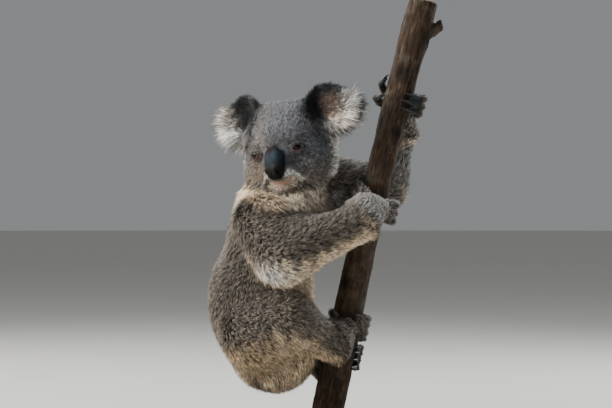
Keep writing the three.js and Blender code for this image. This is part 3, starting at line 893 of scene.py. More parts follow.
@dataclass
class Skin:
    """One skin over all the flesh, inside the solids by the coat's depth, with lids, lips and ear cups.

    Lengths are in millimetres. After build, the arrays below the mesh hold a number or row for each vertex.
    """

    head: HeadFrame
    coarse: float = 3.2
    fine: float = 1.7
    finest: float = 1.2
    overlap: float = 0.7
    rounds: int = 44
    keep: float = 0.34
    slimmed: float = 1.3
    reach: float = 5.5
    clearance: float = 2.2
    under_paws: float = 4.0
    under_ruff: float = 7.0
    bare_share: float = 0.6
    eye_slit: tuple[float, float] = (7.4, 5.3)
    eye_sunk: float = 4.5
    lid_rise: float = 1.8
    lid_proud: float = 0.5
    eye_split: float = 18.0
    upper_hand: tuple[float, float] = (0.55, 0.57)      # metres above the floor
    mesh: Mesh = field(init=False)
    tree: KDTree = field(init=False)
    spot_region: Array = field(init=False)
    share: Array = field(init=False)
    flow: Array = field(init=False)
    lid: Array = field(init=False)
    lash: Array = field(init=False)
    ear: Array = field(init=False)
    ear_base: Array = field(init=False)
    digit: Array = field(init=False)
    knuckle: Array = field(init=False)
    marks: Marks = field(init=False)

    def build(self, material: Material) -> Piece:
        """Fuses, smooths and shrinks the flesh, then shapes the face and thins the mesh where fur hides it.

        Args:
            material: The skin's finish.

        Returns:
            The skin.
        """
        self.plant_tree()
        body = self.fuse([self.copy_node(name) for name in FLESH], self.coarse)
        self.relax(body.data)
        self.shrink(body.data)
        paws = [self.soft_paw(name) for name, region in FLESH.items() if region in PAWS]
        skin = self.fuse([body] + paws + [ear.build(self.head) for ear in EARS], self.fine)
        skin.name = "skin"
        self.mesh = skin.data
        move_points(self.mesh, Neighbours(self.mesh).spread(points_of(self.mesh), 3))
        self.shape_face()
        self.thin(skin)
        self.refine_eyes()
        self.mesh.validate()
        self.shape_eyes()
        self.read_regions()
        self.mark()
        self.comb()
        self.unwrap(skin)
        return dress(skin, material)

    def near_paw(self, points: Array, node: str) -> Array:
        """Finds where a paw all but touches another.

        Args:
            points: Places on the paw.
            node: The paw's solid.

        Returns:
            1 where another paw is very near and 0 away from it.
        """
        others = [name for name, region in FLESH.items() if region in PAWS and name != node]
        corners, faces = [], []
        for mesh in (frame["nodes"][name].data for name in others):
            faces += [[corner + len(corners) for corner in face.vertices] for face in mesh.polygons]
            corners += [corner.co.copy() for corner in mesh.vertices]
        tree = BVHTree.FromPolygons(corners, faces)
        return ease(8, 4, np.array([tree.find_nearest(point)[3] for point in points]) / MM)

    def copy_node(self, node: str) -> Piece:
        """Copies a solid and swells it until it meets its neighbours, except where two paws all but touch.

        Args:
            node: The solid.

        Returns:
            The copy.
        """
        mesh, foot = frame["nodes"][node].data.copy(), FLESH[node] is Region.FOOT
        work = bmesh.new()
        work.from_mesh(mesh)
        bmesh.ops.remove_doubles(work, verts=work.verts, dist=0.02 * MM)
        if foot:
            bmesh.ops.triangulate(work, faces=work.faces)
            bmesh.ops.subdivide_edges(work, edges=work.edges, cuts=2)
        work.to_mesh(mesh)
        work.free()
        mesh.materials.clear()
        points, swell = points_of(mesh), self.overlap
        if foot:
            swell = (self.overlap - 1.6 * self.clearance * self.near_paw(points, node))[:, None]
        move_points(mesh, points + normals_of(mesh) * swell * MM)
        return link("flesh", mesh)

    def soft_paw(self, node: str) -> Piece:
        """Copies a hand or foot finely enough to keep its digits apart, and rounds, slims and parts them.

        Args:
            node: The paw's solid.

        Returns:
            The copy, whose digits end over the roots of their claws.
        """
        paw = self.fuse([self.copy_node(node)], self.finest)
        points = Neighbours(paw.data).spread(points_of(paw.data), 12)
        move_points(paw.data, points)
        inward = self.slimmed + self.clearance * self.near_paw(points, node)
        points = points - normals_of(paw.data) * (inward * MM)[:, None]
        for claw in (name for name in frame["nodes"] if name.startswith(f"claw_{node}_")):
            root, way = claw_line(claw)
            near = np.linalg.norm(points - root, axis=1) / MM
            points = points + way * ((1 - ease(4, 13, near)) * self.reach * MM)[:, None]
        move_points(paw.data, points)
        return paw

    def fuse(self, pieces: Sequence[Piece], voxel: float) -> Piece:
        """Joins pieces that overlap into one closed surface.

        Args:
            pieces: The pieces, which are used up.
            voxel: The surface's fineness.

        Returns:
            The whole.
        """
        only(pieces[0])
        for piece in pieces:
            piece.select_set(True)
        bpy.ops.object.join()
        whole = bpy.context.object
        add_modifier(whole, "REMESH", mode="VOXEL", voxel_size=voxel * MM)
        whole.data.shade_smooth()
        return whole

    def plant_tree(self) -> None:
        """Plants a tree of the solids' corners and their faces' middles, and notes the region of each."""
        meshes = [frame["nodes"][node].data for node in FLESH]
        spots = [np.concatenate([points_of(mesh), read(mesh.polygons, "center")]) for mesh in meshes]
        numbers = [ORDER.index(region) for region in FLESH.values()]
        self.spot_region = np.repeat(numbers, [len(own) for own in spots])
        self.tree = KDTree(len(self.spot_region))
        for i, point in enumerate(np.concatenate(spots)):
            self.tree.insert(point, i)
        self.tree.balance()

    def weights(self, mesh: Mesh, rounds: int) -> Array:
        """Works out how much each vertex belongs to each region.

        Args:
            mesh: The mesh.
            rounds: How soft the borders are.

        Returns:
            A row for each vertex with a share for each region.
        """
        near = np.array([self.tree.find(point)[1] for point in points_of(mesh)])
        return Neighbours(mesh).spread(np.eye(len(ORDER))[self.spot_region[near]], rounds)

    def relax(self, mesh: Mesh) -> None:
        """Smooths the facets away, less so on the head."""
        pace = 0.5 * (1 - 0.5 * self.weights(mesh, 3)[:, 0])
        move_points(mesh, Neighbours(mesh).spread(points_of(mesh), self.rounds, pace))

    def shrink(self, mesh: Mesh) -> None:
        """Draws the surface in by the coat's depth, and by more under the paws, which come later.

        Args:
            mesh: The body's mesh.
        """
        share, local = self.weights(mesh, 10), self.head.local(points_of(mesh))
        on_head = share[:, 0]
        depths = [self.under_paws if region in PAWS else LIES[region].depth for region in ORDER]
        depth = share @ np.array(depths)
        depth = depth * (1 - self.bare_share * on_head * bare_face(local))
        depth = depth + self.under_ruff * on_head * ruff(local)
        normals = Neighbours(mesh).spread(normals_of(mesh), 4)
        move_points(mesh, points_of(mesh) - unit(normals) * (depth * MM)[:, None])

    def thin(self, skin: Piece) -> None:
        """Thins the mesh, sparing the paws and the face.

        Args:
            skin: The skin.
        """
        share, forward = self.weights(self.mesh, 4), self.head.local(points_of(self.mesh))[:, 0]
        spare = sum(share[:, ORDER.index(region)] for region in PAWS)
        weight = np.round(np.clip(1 - np.maximum(spare, share[:, 0] * ease(30, 50, forward)), 0, 1), 1)
        group = skin.vertex_groups.new(name="thinned")
        for level in np.unique(weight):
            group.add(np.nonzero(weight == level)[0].tolist(), float(level), "REPLACE")
        add_modifier(skin, "DECIMATE", ratio=self.keep, vertex_group="thinned",
                     use_collapse_triangulate=True)
        skin.vertex_groups.clear()

    def refine_eyes(self) -> None:
        """Splits the faces round the eyes, and drops the later of two faces that share all their corners."""
        work = bmesh.new()
        work.from_mesh(self.mesh)
        eyes, reach = [Vector(middle_of(f"eye_{side}")) for side in SIDES], self.eye_split * MM
        edges = [edge for edge in work.edges
                 if any(((edge.verts[0].co + edge.verts[1].co) / 2 - eye).length < reach for eye in eyes)]
        bmesh.ops.subdivide_edges(work, edges=edges, cuts=1, use_grid_fill=True)
        bmesh.ops.triangulate(work, faces=[face for face in work.faces if len(face.verts) > 4])
        work.verts.index_update()
        seen, twins = set(), []
        for face in work.faces:
            corners = frozenset(vertex.index for vertex in face.verts)
            if corners in seen:
                twins.append(face)
            seen.add(corners)
        bmesh.ops.delete(work, geom=twins, context="FACES_ONLY")
        work.to_mesh(self.mesh)
        work.free()
        self.mesh.update()

    def shape_face(self) -> None:
        """Models the muzzle's pads, the mouth's arches, the lower lip, the brows, the jaw and the crown."""
        points = points_of(self.mesh)
        forward, left, up = self.head.local(points).T
        side = np.abs(left)
        over_line = up - mouth_line(side)
        reach = 1 - ease(30, 38, side)
        above = 2.6 * bell((over_line - 4) / 4) * reach
        groove = 4.6 * bell((over_line + 0.6) / 1.8) * reach
        under = 2.2 * ease(2, -3, over_line) * ease(-14, -6, over_line) * reach
        drawn = 3.5 * ease(3, -7, over_line) * (1 - ease(34, 52, side))
        pads, brow = Spot(21, -46, 11, 8, 2.2), Spot(36, 13, 17, 8, 2.6)
        socket, bridge = Spot(30, -8, 9, 12, 2.6), Spot(0, 20, 16, 18, 2.0)
        chin = Spot(0, -13, 17, 8, 3.0).on(side, over_line)
        ahead = pads.on(side, up) + above - groove - under + chin - drawn
        ahead = ahead + brow.on(side, up) - socket.on(side, up) + bridge.on(side, up)
        ahead = ahead * ease(40, 56, forward)
        crown = 6.0 * ease(22, 58, up) * (1 - ease(48, 68, side)) * (1 - ease(60, 85, np.abs(forward)))
        points = points + self.head.way(1, 0, 0) * (ahead * MM)[:, None]
        move_points(self.mesh, points + self.head.way(0, 0, 1) * (crown * MM)[:, None])

    def shape_eyes(self) -> None:
        """Opens the eye slits between raised lids, and notes where each lid's edge is."""
        points = points_of(self.mesh)
        self.lid, self.lash = np.zeros(len(points)), np.zeros(len(points))
        for side in SIDES:
            points, lower, upper = self.shape_lids(points, side)
            self.lid, self.lash = np.maximum(self.lid, lower), np.maximum(self.lash, upper)
        move_points(self.mesh, points)

    def shape_lids(self, points: Array, side: str) -> tuple[Array, Array, Array]:
        """Fits the skin round one eyeball: sunk inside the slit, proud on the lids.

        Args:
            points: The skin's vertices.
            side: left or right.

        Returns:
            The moved vertices, and how much each belongs to the lower lid's edge and to the upper lid's.
        """
        sign, radius = (1 if side == "left" else -1), self.head.eye_radius
        out, rise = self.head.way(0.86, sign * 0.5, 0.05), self.head.way(0, -sign * 0.22, 1)
        rise = unit(rise - out * dots(out, rise))
        away = (points - middle_of(f"eye_{side}")) / MM
        a, b, c = away @ np.cross(rise, out), away @ rise, away @ out
        slit, flat = np.hypot(a / self.eye_slit[0], (b + 0.4) / self.eye_slit[1]), np.hypot(a, b)
        near = (np.abs(c) < 20) & (slit < 2.8)
        ball, lid_top = (np.sqrt(np.maximum(size ** 2 - np.minimum(flat, size) ** 2, 0))
                         for size in (radius, radius + self.lid_rise))
        inside = 1 - ease(0.9, 1.06, slit)
        lid = ease(0.9, 1.1, slit) * (1 - ease(1.25, 2.1, slit))
        target = inside * (ball - self.eye_sunk) + (1 - inside) * (lid_top + self.lid_proud)
        moved = (target - c) * np.clip(inside + lid, 0, 1) * near
        low = ease(2, -2, b + 0.4 * a * sign)
        edge = ease(0.8, 1.0, slit) * near
        lower = edge * (1 - ease(1.2, 1.5 + 0.6 * low, slit)) * low * 0.8
        upper = edge * (1 - ease(1.4, 2.4, slit)) * (1 - low)
        return points + out * (moved * MM)[:, None], lower, upper

    def part(self, *regions: Region) -> Array:
        """The share of some regions together."""
        return sum(self.share[:, ORDER.index(region)] for region in regions)

    def read_regions(self) -> None:
        """Notes each vertex's share of each region, of the ears, of the bare digits and of the knuckles."""
        self.share = self.weights(self.mesh, 10)
        points = points_of(self.mesh)
        left = self.head.local(points)[:, 1]
        self.ear = np.zeros(len(points))
        for ear in EARS:
            x, across, _ = ear.local(points, self.head)
            on = (1 - ease(1.02, 1.14, across)) * (np.abs(x) < 22)
            self.ear = np.maximum(self.ear, on * ease(52, 66, left * ear.sign + np.abs(x)))
        self.ear = Neighbours(self.mesh).spread(self.ear, 3)
        claws = [middle_of(name) for name in frame["nodes"] if name.startswith("claw_")]
        near = np.min([np.linalg.norm(points - claw, axis=1) for claw in claws], axis=0) / MM
        low, high = (np.array(corner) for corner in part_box("perch_trunk"))
        radius = (high[1] - low[1]) / 2
        rise = (points[:, 2] - low[2]) / (high[2] - low[2])
        outward = np.stack([points[:, 0] - low[0] - radius - rise * (high[0] - low[0] - 2 * radius),
                            points[:, 1], 0 * rise], axis=1)
        upper = self.part(Region.HAND) * ease(*self.upper_hand, points[:, 2])
        back = ease(0.0, 0.6, dots(unit(outward), normals_of(self.mesh))) * (1 - 0.7 * upper)
        paws = self.part(*PAWS)
        self.digit = (1 - ease(27 - 11 * back, 40 - 16 * back, near)) * paws
        self.knuckle = (1 - ease(22, 50, near)) * paws

    def raise_mark(self, name: str, *values: Array) -> None:
        """Brings a marking up to each of some values."""
        self.marks[name] = np.maximum.reduce([self.marks[name], *values])

    def mark(self) -> None:
        """Lays the coat's markings: grey above, cream below, white fringes and dark ear bases and paws, with
        painted shade on the body, the limbs and the face.
        """
        points, normals = points_of(self.mesh), normals_of(self.mesh)
        names = ("cool", "cream", "white", "tan", "dark", "bare", "digit", "eyes")
        self.marks = {name: np.zeros(len(points)) for name in names}
        self.mark_body(points, normals)
        self.mark_face(points)
        self.mark_ears(points, normals)
        self.marks["digit"] = self.digit * 0.85
        edges = Neighbours(self.mesh)
        for name in names:
            soft = name in ("cream", "white", "tan", "dark")
            self.marks[name] = np.clip(edges.spread(self.marks[name], 2 if soft else 0), 0, 1)
            store(self.mesh, name, self.marks[name])

    def mark_body(self, points: Array, normals: Array) -> None:
        """Marks the trunk, the limbs and the paws, and paints shade on the body's and the limbs' sides that
        face -Y.

        Args:
            points: The skin's vertices.
            normals: Their normals.
        """
        x, y, z = points.T
        nx, ny, nz = normals.T
        body, hands = self.part(Region.TRUNK), self.part(Region.HAND)
        arm, leg = self.part(Region.UPPER_ARM, Region.FOREARM), self.part(Region.THIGH, Region.SHANK)
        edge, dapple = 0.14 * ripple(points, 16, 3), 0.22 * ripple(points, 30, 4)
        belly = ease(0.35, 0.85, nx + edge)
        rump = ease(0.2, 0.11, z - 0.25 * (x + 0.09) + 0.12 * (edge + dapple)) * ease(0.25, -0.25, nz + edge)
        under = ease(0.15, 0.6, -nz + edge)
        low_arm = arm * under * np.maximum(self.part(Region.FOREARM), ease(0.37, 0.33, z))
        corner = np.array(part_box("forearm_right")[0]) + [-0.008, 0.03, 0.028]
        elbow = arm * bell(*((points - corner) / [1.5 * 0.023, 1.6 * 0.023, 0.75 * 0.023]).T)
        # Partly painted cool light from behind: the far forearm (y above 0) takes a cool, paler tint, and
        # the arms' far side a little white.
        forearm = self.part(Region.FOREARM) * ease(0.0, 0.02, y)
        back_of_hand = hands * (1 - self.knuckle) * ease(-0.8, 0.4, nz)
        # Painted shade: the side of the body that faces -Y, above the rump.
        flank_shade = body * ease(0.2, 0.7, -ny) * ease(0.2, 0.26, z)
        wrist = self.part(*PAWS) * (1 - self.digit)
        self.raise_mark("cream", body * belly * 0.8, body * rump * 0.9, low_arm, leg * under * 0.4, elbow)
        self.raise_mark("tan", body * rump * ease(-0.1, 0.0, x), leg * under * ease(0.24, 0.16, z) * 0.7)
        self.raise_mark("white", self.part(Region.NECK) * 0.75 * ease(0.0, 0.5, nx - ny * 0.2), elbow,
                        0.08 * forearm + 0.28 * back_of_hand + 0.14 * arm * ease(0.02, 0.05, y))
        self.raise_mark("cool", 0.45 * forearm)
        # Painted shade: the body's and the limbs' sides that face -Y are darkened; the paws' dark digits and
        # knuckles are their own colour.
        self.raise_mark("dark", 0.3 * flank_shade + 0.1 * (arm + leg) * ease(0.3, 0.8, -ny),
                        wrist * (0.1 + (0.4 + 0.4 * hands * ease(*self.upper_hand, z)) * self.knuckle))

    def mark_face(self, points: Array) -> None:
        """Marks the muzzle, the chin, the ruff, the temples and the bare lids and lips, with painted shade
        on the face's side away from the light, in the mouth's corners and under the chin.

        Args:
            points: The skin's vertices.
        """
        local = self.head.local(points)
        forward, left, up = local.T
        side, head, front = np.abs(left), self.part(Region.HEAD), ease(40, 56, forward)
        over_line, lit = up - mouth_line(side), ease(0, -15, left)
        muzzle = Spot(25, 6.5, 15, 6.5, power=1.5).on(side, over_line) * front
        chin = ease(1, -1, over_line) * ease(-19, -13, over_line) * (1 - ease(16, 30, side)) * front
        band = np.clip(jaw(local) * (head + self.part(Region.NECK) + self.drape(local)), 0, 1)
        warm = head * ease(-2, -30, left) * ease(10, -40, up) * front * 0.22
        # Partly painted shade: the dark grey beside the muzzle and below the eyes is stronger on the side
        # away from the light.
        slate = Spot(27, -24, 14, 16, 0.72, 1.5).on(side, up) * front * (1 - 0.6 * lit)
        # Partly painted shade, partly darker fur: the temples behind the eyes.
        temples = Spot(64, 14, 22, 32, 0.4).on(side, up) * ease(0, 30, forward)
        # Painted shade in the mouth's corners, weaker on the lit side.
        corner = Spot(26, 1, 5, 2.2).on(side, over_line) * front * (0.7 - 0.5 * lit)
        # Painted shade under the chin.
        chin_shade = bell((over_line + 22) / 4.5) * (1 - ease(20, 38, side)) * front * 0.3
        lip = ease(0.5, -1.0, over_line) * ease(10.5, 6.0, 5 * (side / 26) ** 2 - over_line)
        lip = lip * (1 - ease(14, 26, side)) * 0.85 * ease(50, 58, forward)
        # The muzzle's white is stronger on the side away from the light, where it is partly a painted
        # highlight.
        self.raise_mark("white", head * muzzle * (1.0 - 0.55 * lit), self.temple(local))
        self.marks["white"] *= 1 - 0.6 * band
        self.raise_mark("white", 0.45 * chin)
        self.raise_mark("cream", band, chin)
        self.raise_mark("tan", 0.8 * warm)
        # These darks are painted shade in whole or part: beside the muzzle, at the temples, in the mouth's
        # corners, under the chin and, on the side away from the light, at the upper lids' edge.
        self.raise_mark("dark", 0.6 * warm, head * slate, head * temples, corner, chin_shade,
                        self.lash * (0.6 - 0.25 * lit))
        # The head's cool grey is partly painted shade: it is stronger on the side away from the light.
        self.raise_mark("cool", head * ease(-75, -20, up) * ease(-50, 20, forward) * (0.85 - 0.4 * lit)
                        + self.ear * 0.8)
        self.raise_mark("bare", self.lid, lip, 0.6 * chin)
        self.marks["eyes"] = sum(bell(*((points - middle_of(f"eye_{name}")) / 0.014).T) for name in SIDES)

    def mark_ears(self, points: Array, normals: Array) -> None:
        """Marks the ears: pink inside, black towards the crown, cream below, and white all round outside.

        Args:
            points: The skin's vertices.
            normals: Their normals.
        """
        local = self.head.local(points)
        strands = ease(0.3, 1.1, ripple(points, 6, 21))
        self.ear_base = np.zeros(len(points))
        for ear in EARS:
            _, across, angle = ear.local(points, self.head)
            out, up = across * np.cos(np.radians(angle)), across * np.sin(np.radians(angle))
            faces = ease(-0.1, 0.35, normals @ ear.place(self.head)[1][:, 0])
            own = self.ear * (local[:, 1] * ear.sign > 0)
            inner, back = own * faces, own * (1 - faces)
            fringe = ear.fringed(angle) * ease(0.5, 0.8, across)
            pink = bell((out - 0.14) / 0.5, (up - 0.22) / 0.46, power=2)
            pale = bell((out - 0.1) / 0.6, (up + 0.55) / 0.4, power=2)
            crown = ease(ear.crown + 0.2, ear.crown - 0.2, out) * ease(-1.05, -0.7, up)
            away = np.linalg.norm((local * [1, ear.sign, 1] - ear.base) / [34, 22, 25], axis=1)
            base = (1 - ease(0.6, 1.2, away)) * (1 - inner * (1 - crown))
            self.ear_base = np.maximum(self.ear_base, base)
            self.raise_mark("white", own * fringe * ear.pale)
            blush = np.maximum(np.maximum(pale, 0.35 * pink), 1 - ear.bare)
            self.raise_mark("cream", inner * blush * (1 - crown))
            self.raise_mark("dark", own * crown * (1 - fringe) * 0.94, base * 0.92,
                            own * ease(0.45, 0.8, up) * (1 - fringe) * 0.6,
                            back * (1 - fringe) * 0.25, own * fringe * strands * 0.7)
            self.raise_mark("bare", inner * pink * 0.8 * ear.bare)

    def temple(self, local: Array) -> Array:
        """The long pale fur behind the face's edge, from the ear down to the jaw.

        Args:
            local: Places on the head.

        Returns:
            About 1 there and 0 away from it.
        """
        forward, left, up = local.T
        belt = ease(44, 66, np.abs(left)) * ease(16, -2, forward) * ease(-58, -18, forward)
        tall = ease(50, 25, up) * ease(-95, -50, up)
        return (0.9 - 0.15 * (left < 0)) * self.part(Region.HEAD) * belt * tall

    def drape(self, local: Array) -> Array:
        """The top of the shoulder, over which the ruff hangs.

        Args:
            local: Places on the head.

        Returns:
            1 there and 0 away from it.
        """
        forward, left, up = local.T
        edge = -108 + 0.6 * np.maximum(-left - 12, 0)
        top = ease(edge - 9, edge + 3, up) * ease(88, 70, np.abs(left))
        return self.part(Region.UPPER_ARM, Region.TRUNK) * top * ease(-25, 5, forward)

    def comb(self) -> None:
        """Finds which way the coat lies: back from the nose, down the body and along the limbs."""
        points, normals = points_of(self.mesh), normals_of(self.mesh)
        ways = {Region.HEAD: unit(points - self.head.at(92, 0, -20)) + [0, 0, -0.12],
                Region.NECK: np.array([-0.05, 0.0, -1.0]), Region.TRUNK: np.array([0.12, 0.0, -1.0])}
        flow = sum(unit(way) * self.part(region)[:, None] for region, way in ways.items())
        drape = self.drape(self.head.local(points))[:, None]
        flow = flow * (1 - drape)
        for upper, lower, paw in CHAINS:
            for side, mask in (("left", points[:, 1] >= 0), ("right", points[:, 1] < 0)):
                spots = [middle_of(f"{upper.value}_{side}"), middle_of(f"{lower.value}_{side}"),
                         middle_of(f"{side}_{paw.value}")]
                first, second = unit(np.diff(spots, axis=0))
                for region, way in ((upper, first), (lower, second), (paw, second)):
                    sag = np.array([0, 0, 0.0 if region is paw else -0.3])
                    flow += (way + sag) * (mask * self.part(region))[:, None]
        flow = unit(flow) * (1 - drape) + np.array([-0.1, -0.35, -1.0]) * drape
        for ear in EARS:
            middle, axes = ear.place(self.head)
            x, across, _ = ear.local(points, self.head)
            radial = points - middle + axes[:, 1] * ear.sign * 0.6 * ear.radius * MM
            radial = unit(radial - dots(radial, axes[:, 0])[:, None] * axes[:, 0])
            own = (self.ear * (np.abs(x) < 30) * (across < 1.3))[:, None]
            flow = flow * (1 - own) + radial * own
        edges = Neighbours(self.mesh)
        for _ in range(4):
            flow = edges.spread(unit(flow - normals * dots(flow, normals)[:, None]), 3)
        self.flow = unit(flow - normals * dots(flow, normals)[:, None])

    def unwrap(self, skin: Piece) -> None:
        """Unwraps the skin for its baked colours.

        Args:
            skin: The skin.
        """
        only(skin)
        self.mesh.uv_layers.new(name=UV_MAP)
        bpy.ops.object.mode_set(mode="EDIT")
        bpy.ops.mesh.select_all(action="SELECT")
        bpy.ops.uv.smart_project(angle_limit=math.radians(66), island_margin=0.002)
        bpy.ops.object.mode_set(mode="OBJECT")


def bare_face(local: Array) -> Array:
    """Nearness to the middle of the face, where the coat is shortest: 1 there and 0 at the cheeks."""
    return 1 - ease(0.5, 1.3, np.linalg.norm((local - [76, 0, -30]) / [42, 40, 40], axis=1))


def ruff(local: Array) -> Array:
    """The long fur of the cheeks' lower edge and the throat: 1 there and 0 away from it."""
    return ease(-50, -78, local[:, 2]) * (1 - ease(48, 72, local[:, 0]))


def jaw(local: Array) -> Array:
    """The cream band under the jaw, which climbs towards the ears.

    Args:
        local: Places on the head.

    Returns:
        1 there and 0 away from it.
    """
    forward, left, up = local.T
    slope = 0.26 - 0.16 * np.tanh(left / 30)
    return ease(-80, -90, up - slope * np.abs(left)) * ease(-150, -130, up) * ease(-25, 5, forward)


def mouth_line(side: Array) -> Array:
    """The height of the mouth's line at a distance to the side: it arches over each half of the lip."""
    return -61 + 7.5 * bell((side - 22) / 9) - 9 * ease(25, 37, side)


# ---- coat ----

@dataclass
class Roots:
    """Where tufts grow, with what the skin says at each root."""

    place: Array
    normal: Array
    flow: Array
    uv: Array
    told: Marks

    def __len__(self) -> int:
        """The number of roots."""
        return len(self.place)

    def pick(self, chosen: Array) -> Roots:
        """Some of the roots."""
        told = {name: values[chosen] for name, values in self.told.items()}
        return Roots(self.place[chosen], self.normal[chosen], self.flow[chosen], self.uv[chosen], told)


class Sower:
    """Scatters roots over the skin, thickest where the density is highest."""

    def __init__(self, skin: Skin, sizes: Marks, seed: int) -> None:
        """Reads the skin once.

        Args:
            skin: The finished skin.
            sizes: Further numbers for each vertex of the skin.
            seed: Makes the scatter the same each time.
        """
        mesh = skin.mesh
        mesh.calc_loop_triangles()
        self.corners = read(mesh.loop_triangles, "vertices", 3, np.int32)
        self.uv = read(mesh.uv_layers[UV_MAP].data, "uv", 2)[read(mesh.loop_triangles, "loops", 3, np.int32)]
        self.points, self.normals, self.flow = points_of(mesh), normals_of(mesh), skin.flow
        self.told = skin.marks | sizes
        a, b, c = (self.points[self.corners[:, i]] for i in range(3))
        self.area = np.linalg.norm(np.cross(b - a, c - a), axis=1) / 2
        self.random = np.random.default_rng(seed)

    def sow(self, count: int, density: Array) -> Roots:
        """Scatters roots.

        Args:
            count: How many.
            density: How thickly they stand at each vertex.

        Returns:
            The roots.
        """
        weight = self.area * density[self.corners].mean(axis=1)
        steps = (np.arange(count) + self.random.random(count)) / count
        chosen = np.minimum(np.searchsorted(np.cumsum(weight) / weight.sum(), steps), len(weight) - 1)
        u, v = self.random.random(count), self.random.random(count)
        flip = u + v > 1
        u[flip], v[flip] = 1 - u[flip], 1 - v[flip]
        share, corners = np.stack([1 - u - v, u, v], axis=1), self.corners[chosen]

        def at_roots(values: Array) -> Array:
            """Reads a vertex value at each root."""
            return np.einsum("ij,ij...->i...", share, values[corners])

        return Roots(at_roots(self.points), unit(at_roots(self.normals)), at_roots(self.flow),
                     np.einsum("ij,ijk->ik", share, self.uv[chosen]),
                     {name: at_roots(values) for name, values in self.told.items()})


# A lock's corners: its root, its left, right and raised sides half way along, and its tip.
LOCK_ALONG = (0.0, 0.5, 0.5, 0.5, 1.0)
LOCK_FACES = np.array([(0, 2, 1), (0, 1, 3), (0, 3, 2), (1, 2, 4), (2, 3, 4), (3, 1, 4)])


@dataclass
class Tufts:
    """Locks of hair: slim closed spindles that leave the skin, bend over along the coat and end in a point.

    Sizes are in millimetres and angles in degrees. The patch on the skin's map is a share of its width.
    """

    roots: Roots
    length: Array
    width: Array
    lift: Array
    random: np.random.Generator
    stray: float = 12.0
    clump: float = 9.0
    clump_mm: float = 4.0
    lift_stray: float = 5.0
    lifts: tuple[float, float] = (6.0, 80.0)
    weave: float = 0.1
    flatness: float = 0.42
    bend: float = 30.0
    droop: float = 0.0
    softness: float = 0.5
    buried: float = 1.5
    buried_share: float = 0.12
    patch: float = 0.0015

    def mesh(self, name: str) -> Mesh:
        """Builds all the locks as one mesh.

        Args:
            name: The mesh's name.

        Returns:
            The mesh, with its markings, its shade and its own normals.
        """
        roots, normal, n = self.roots, self.roots.normal, len(self.roots)
        turn = self.random.normal(0, self.stray, n) + self.clump * ripple(roots.place, self.clump_mm, 11)
        yaw = np.radians(turn)[:, None]
        flow = unit(roots.flow * np.cos(yaw) + unit(np.cross(normal, roots.flow)) * np.sin(yaw))
        side = unit(np.cross(normal, flow))
        lift = self.lift + self.random.normal(0, self.lift_stray, n)
        lift = lift + self.lift_stray * ripple(roots.place, self.clump_mm, 12)
        lift = np.radians(np.clip(lift, *self.lifts))[:, None]
        wave = side * self.random.normal(0, self.weave, n)[:, None]
        half_width = side * (self.width * MM)[:, None] * 0.5
        buried = np.minimum(self.buried, self.buried_share * self.length)
        place = roots.place - normal * (buried * MM)[:, None]
        corners, lean = [place], [-normal]
        for half in range(2):
            angle = lift + np.radians(self.bend) * (0.5 - half)
            way = flow * np.cos(angle) + normal * np.sin(angle) + (wave + [0, 0, -self.droop]) * half
            way = unit(way)
            place = place + way * (self.length * MM / 2)[:, None]
            if half == 0:
                ridge = unit(normal - way * dots(normal, way)[:, None])
                raised = ridge * (self.width * MM)[:, None] * self.flatness
                corners += [place - half_width, place + half_width, place + raised]
                lean += [-side, side, ridge]
        shading = [unit(normal * self.softness + one * (1 - self.softness)) for one in lean + [way * 0.4]]
        return self.assemble(name, np.stack(corners + [place], axis=1), np.stack(shading, axis=1))

    def assemble(self, name: str, corners: Array, shading: Array) -> Mesh:
        """Turns the locks' corners into a mesh with all its attributes.

        Args:
            name: The mesh's name.
            corners: Each lock's corners.
            shading: The normal at each of them.

        Returns:
            The mesh.
        """
        n, each = corners.shape[:2]
        faces = (LOCK_FACES[None] + (np.arange(n) * each)[:, None, None]).reshape(-1, 3)
        mesh = bpy.data.meshes.new(name)
        mesh.vertices.add(n * each)
        mesh.vertices.foreach_set("co", corners.astype(np.float32).ravel())
        mesh.loops.add(faces.size)
        mesh.loops.foreach_set("vertex_index", faces.astype(np.int32).ravel())
        mesh.polygons.add(len(faces))
        mesh.polygons.foreach_set("loop_start", np.arange(0, faces.size, 3, dtype=np.int32))
        mesh.update(calc_edges=True)
        mesh.shade_smooth()
        for key in ("cool", "cream", "white", "tan", "dark", "digit"):
            store(mesh, key, np.repeat(self.roots.told[key], each))
        store(mesh, "along", np.tile(LOCK_ALONG, n))
        store(mesh, "shade", np.repeat(self.shades(), each))
        turns = np.arange(each) * 2.4
        spots = np.stack([np.cos(turns), np.sin(turns)], axis=1) * self.patch
        uv = (self.roots.uv[:, None] + spots).reshape(-1, 2)
        mesh.uv_layers.new(name=UV_MAP).data.foreach_set("uv", uv[faces.ravel()].astype(np.float32).ravel())
        mesh.normals_split_custom_set_from_vertices(shading.reshape(-1, 3).astype(np.float32))
        return mesh

    def shades(self) -> Array:
        """How pale each lock is, from 0 to 1: alike within a small clump, with some dark ones."""
        own = self.random.normal(0, 0.25, len(self.roots))
        depth = 0.1 + 0.2 * ease(8, 15, self.length)
        return np.clip(0.5 + own + depth * ripple(self.roots.place, 3.4, 13), 0, 1)


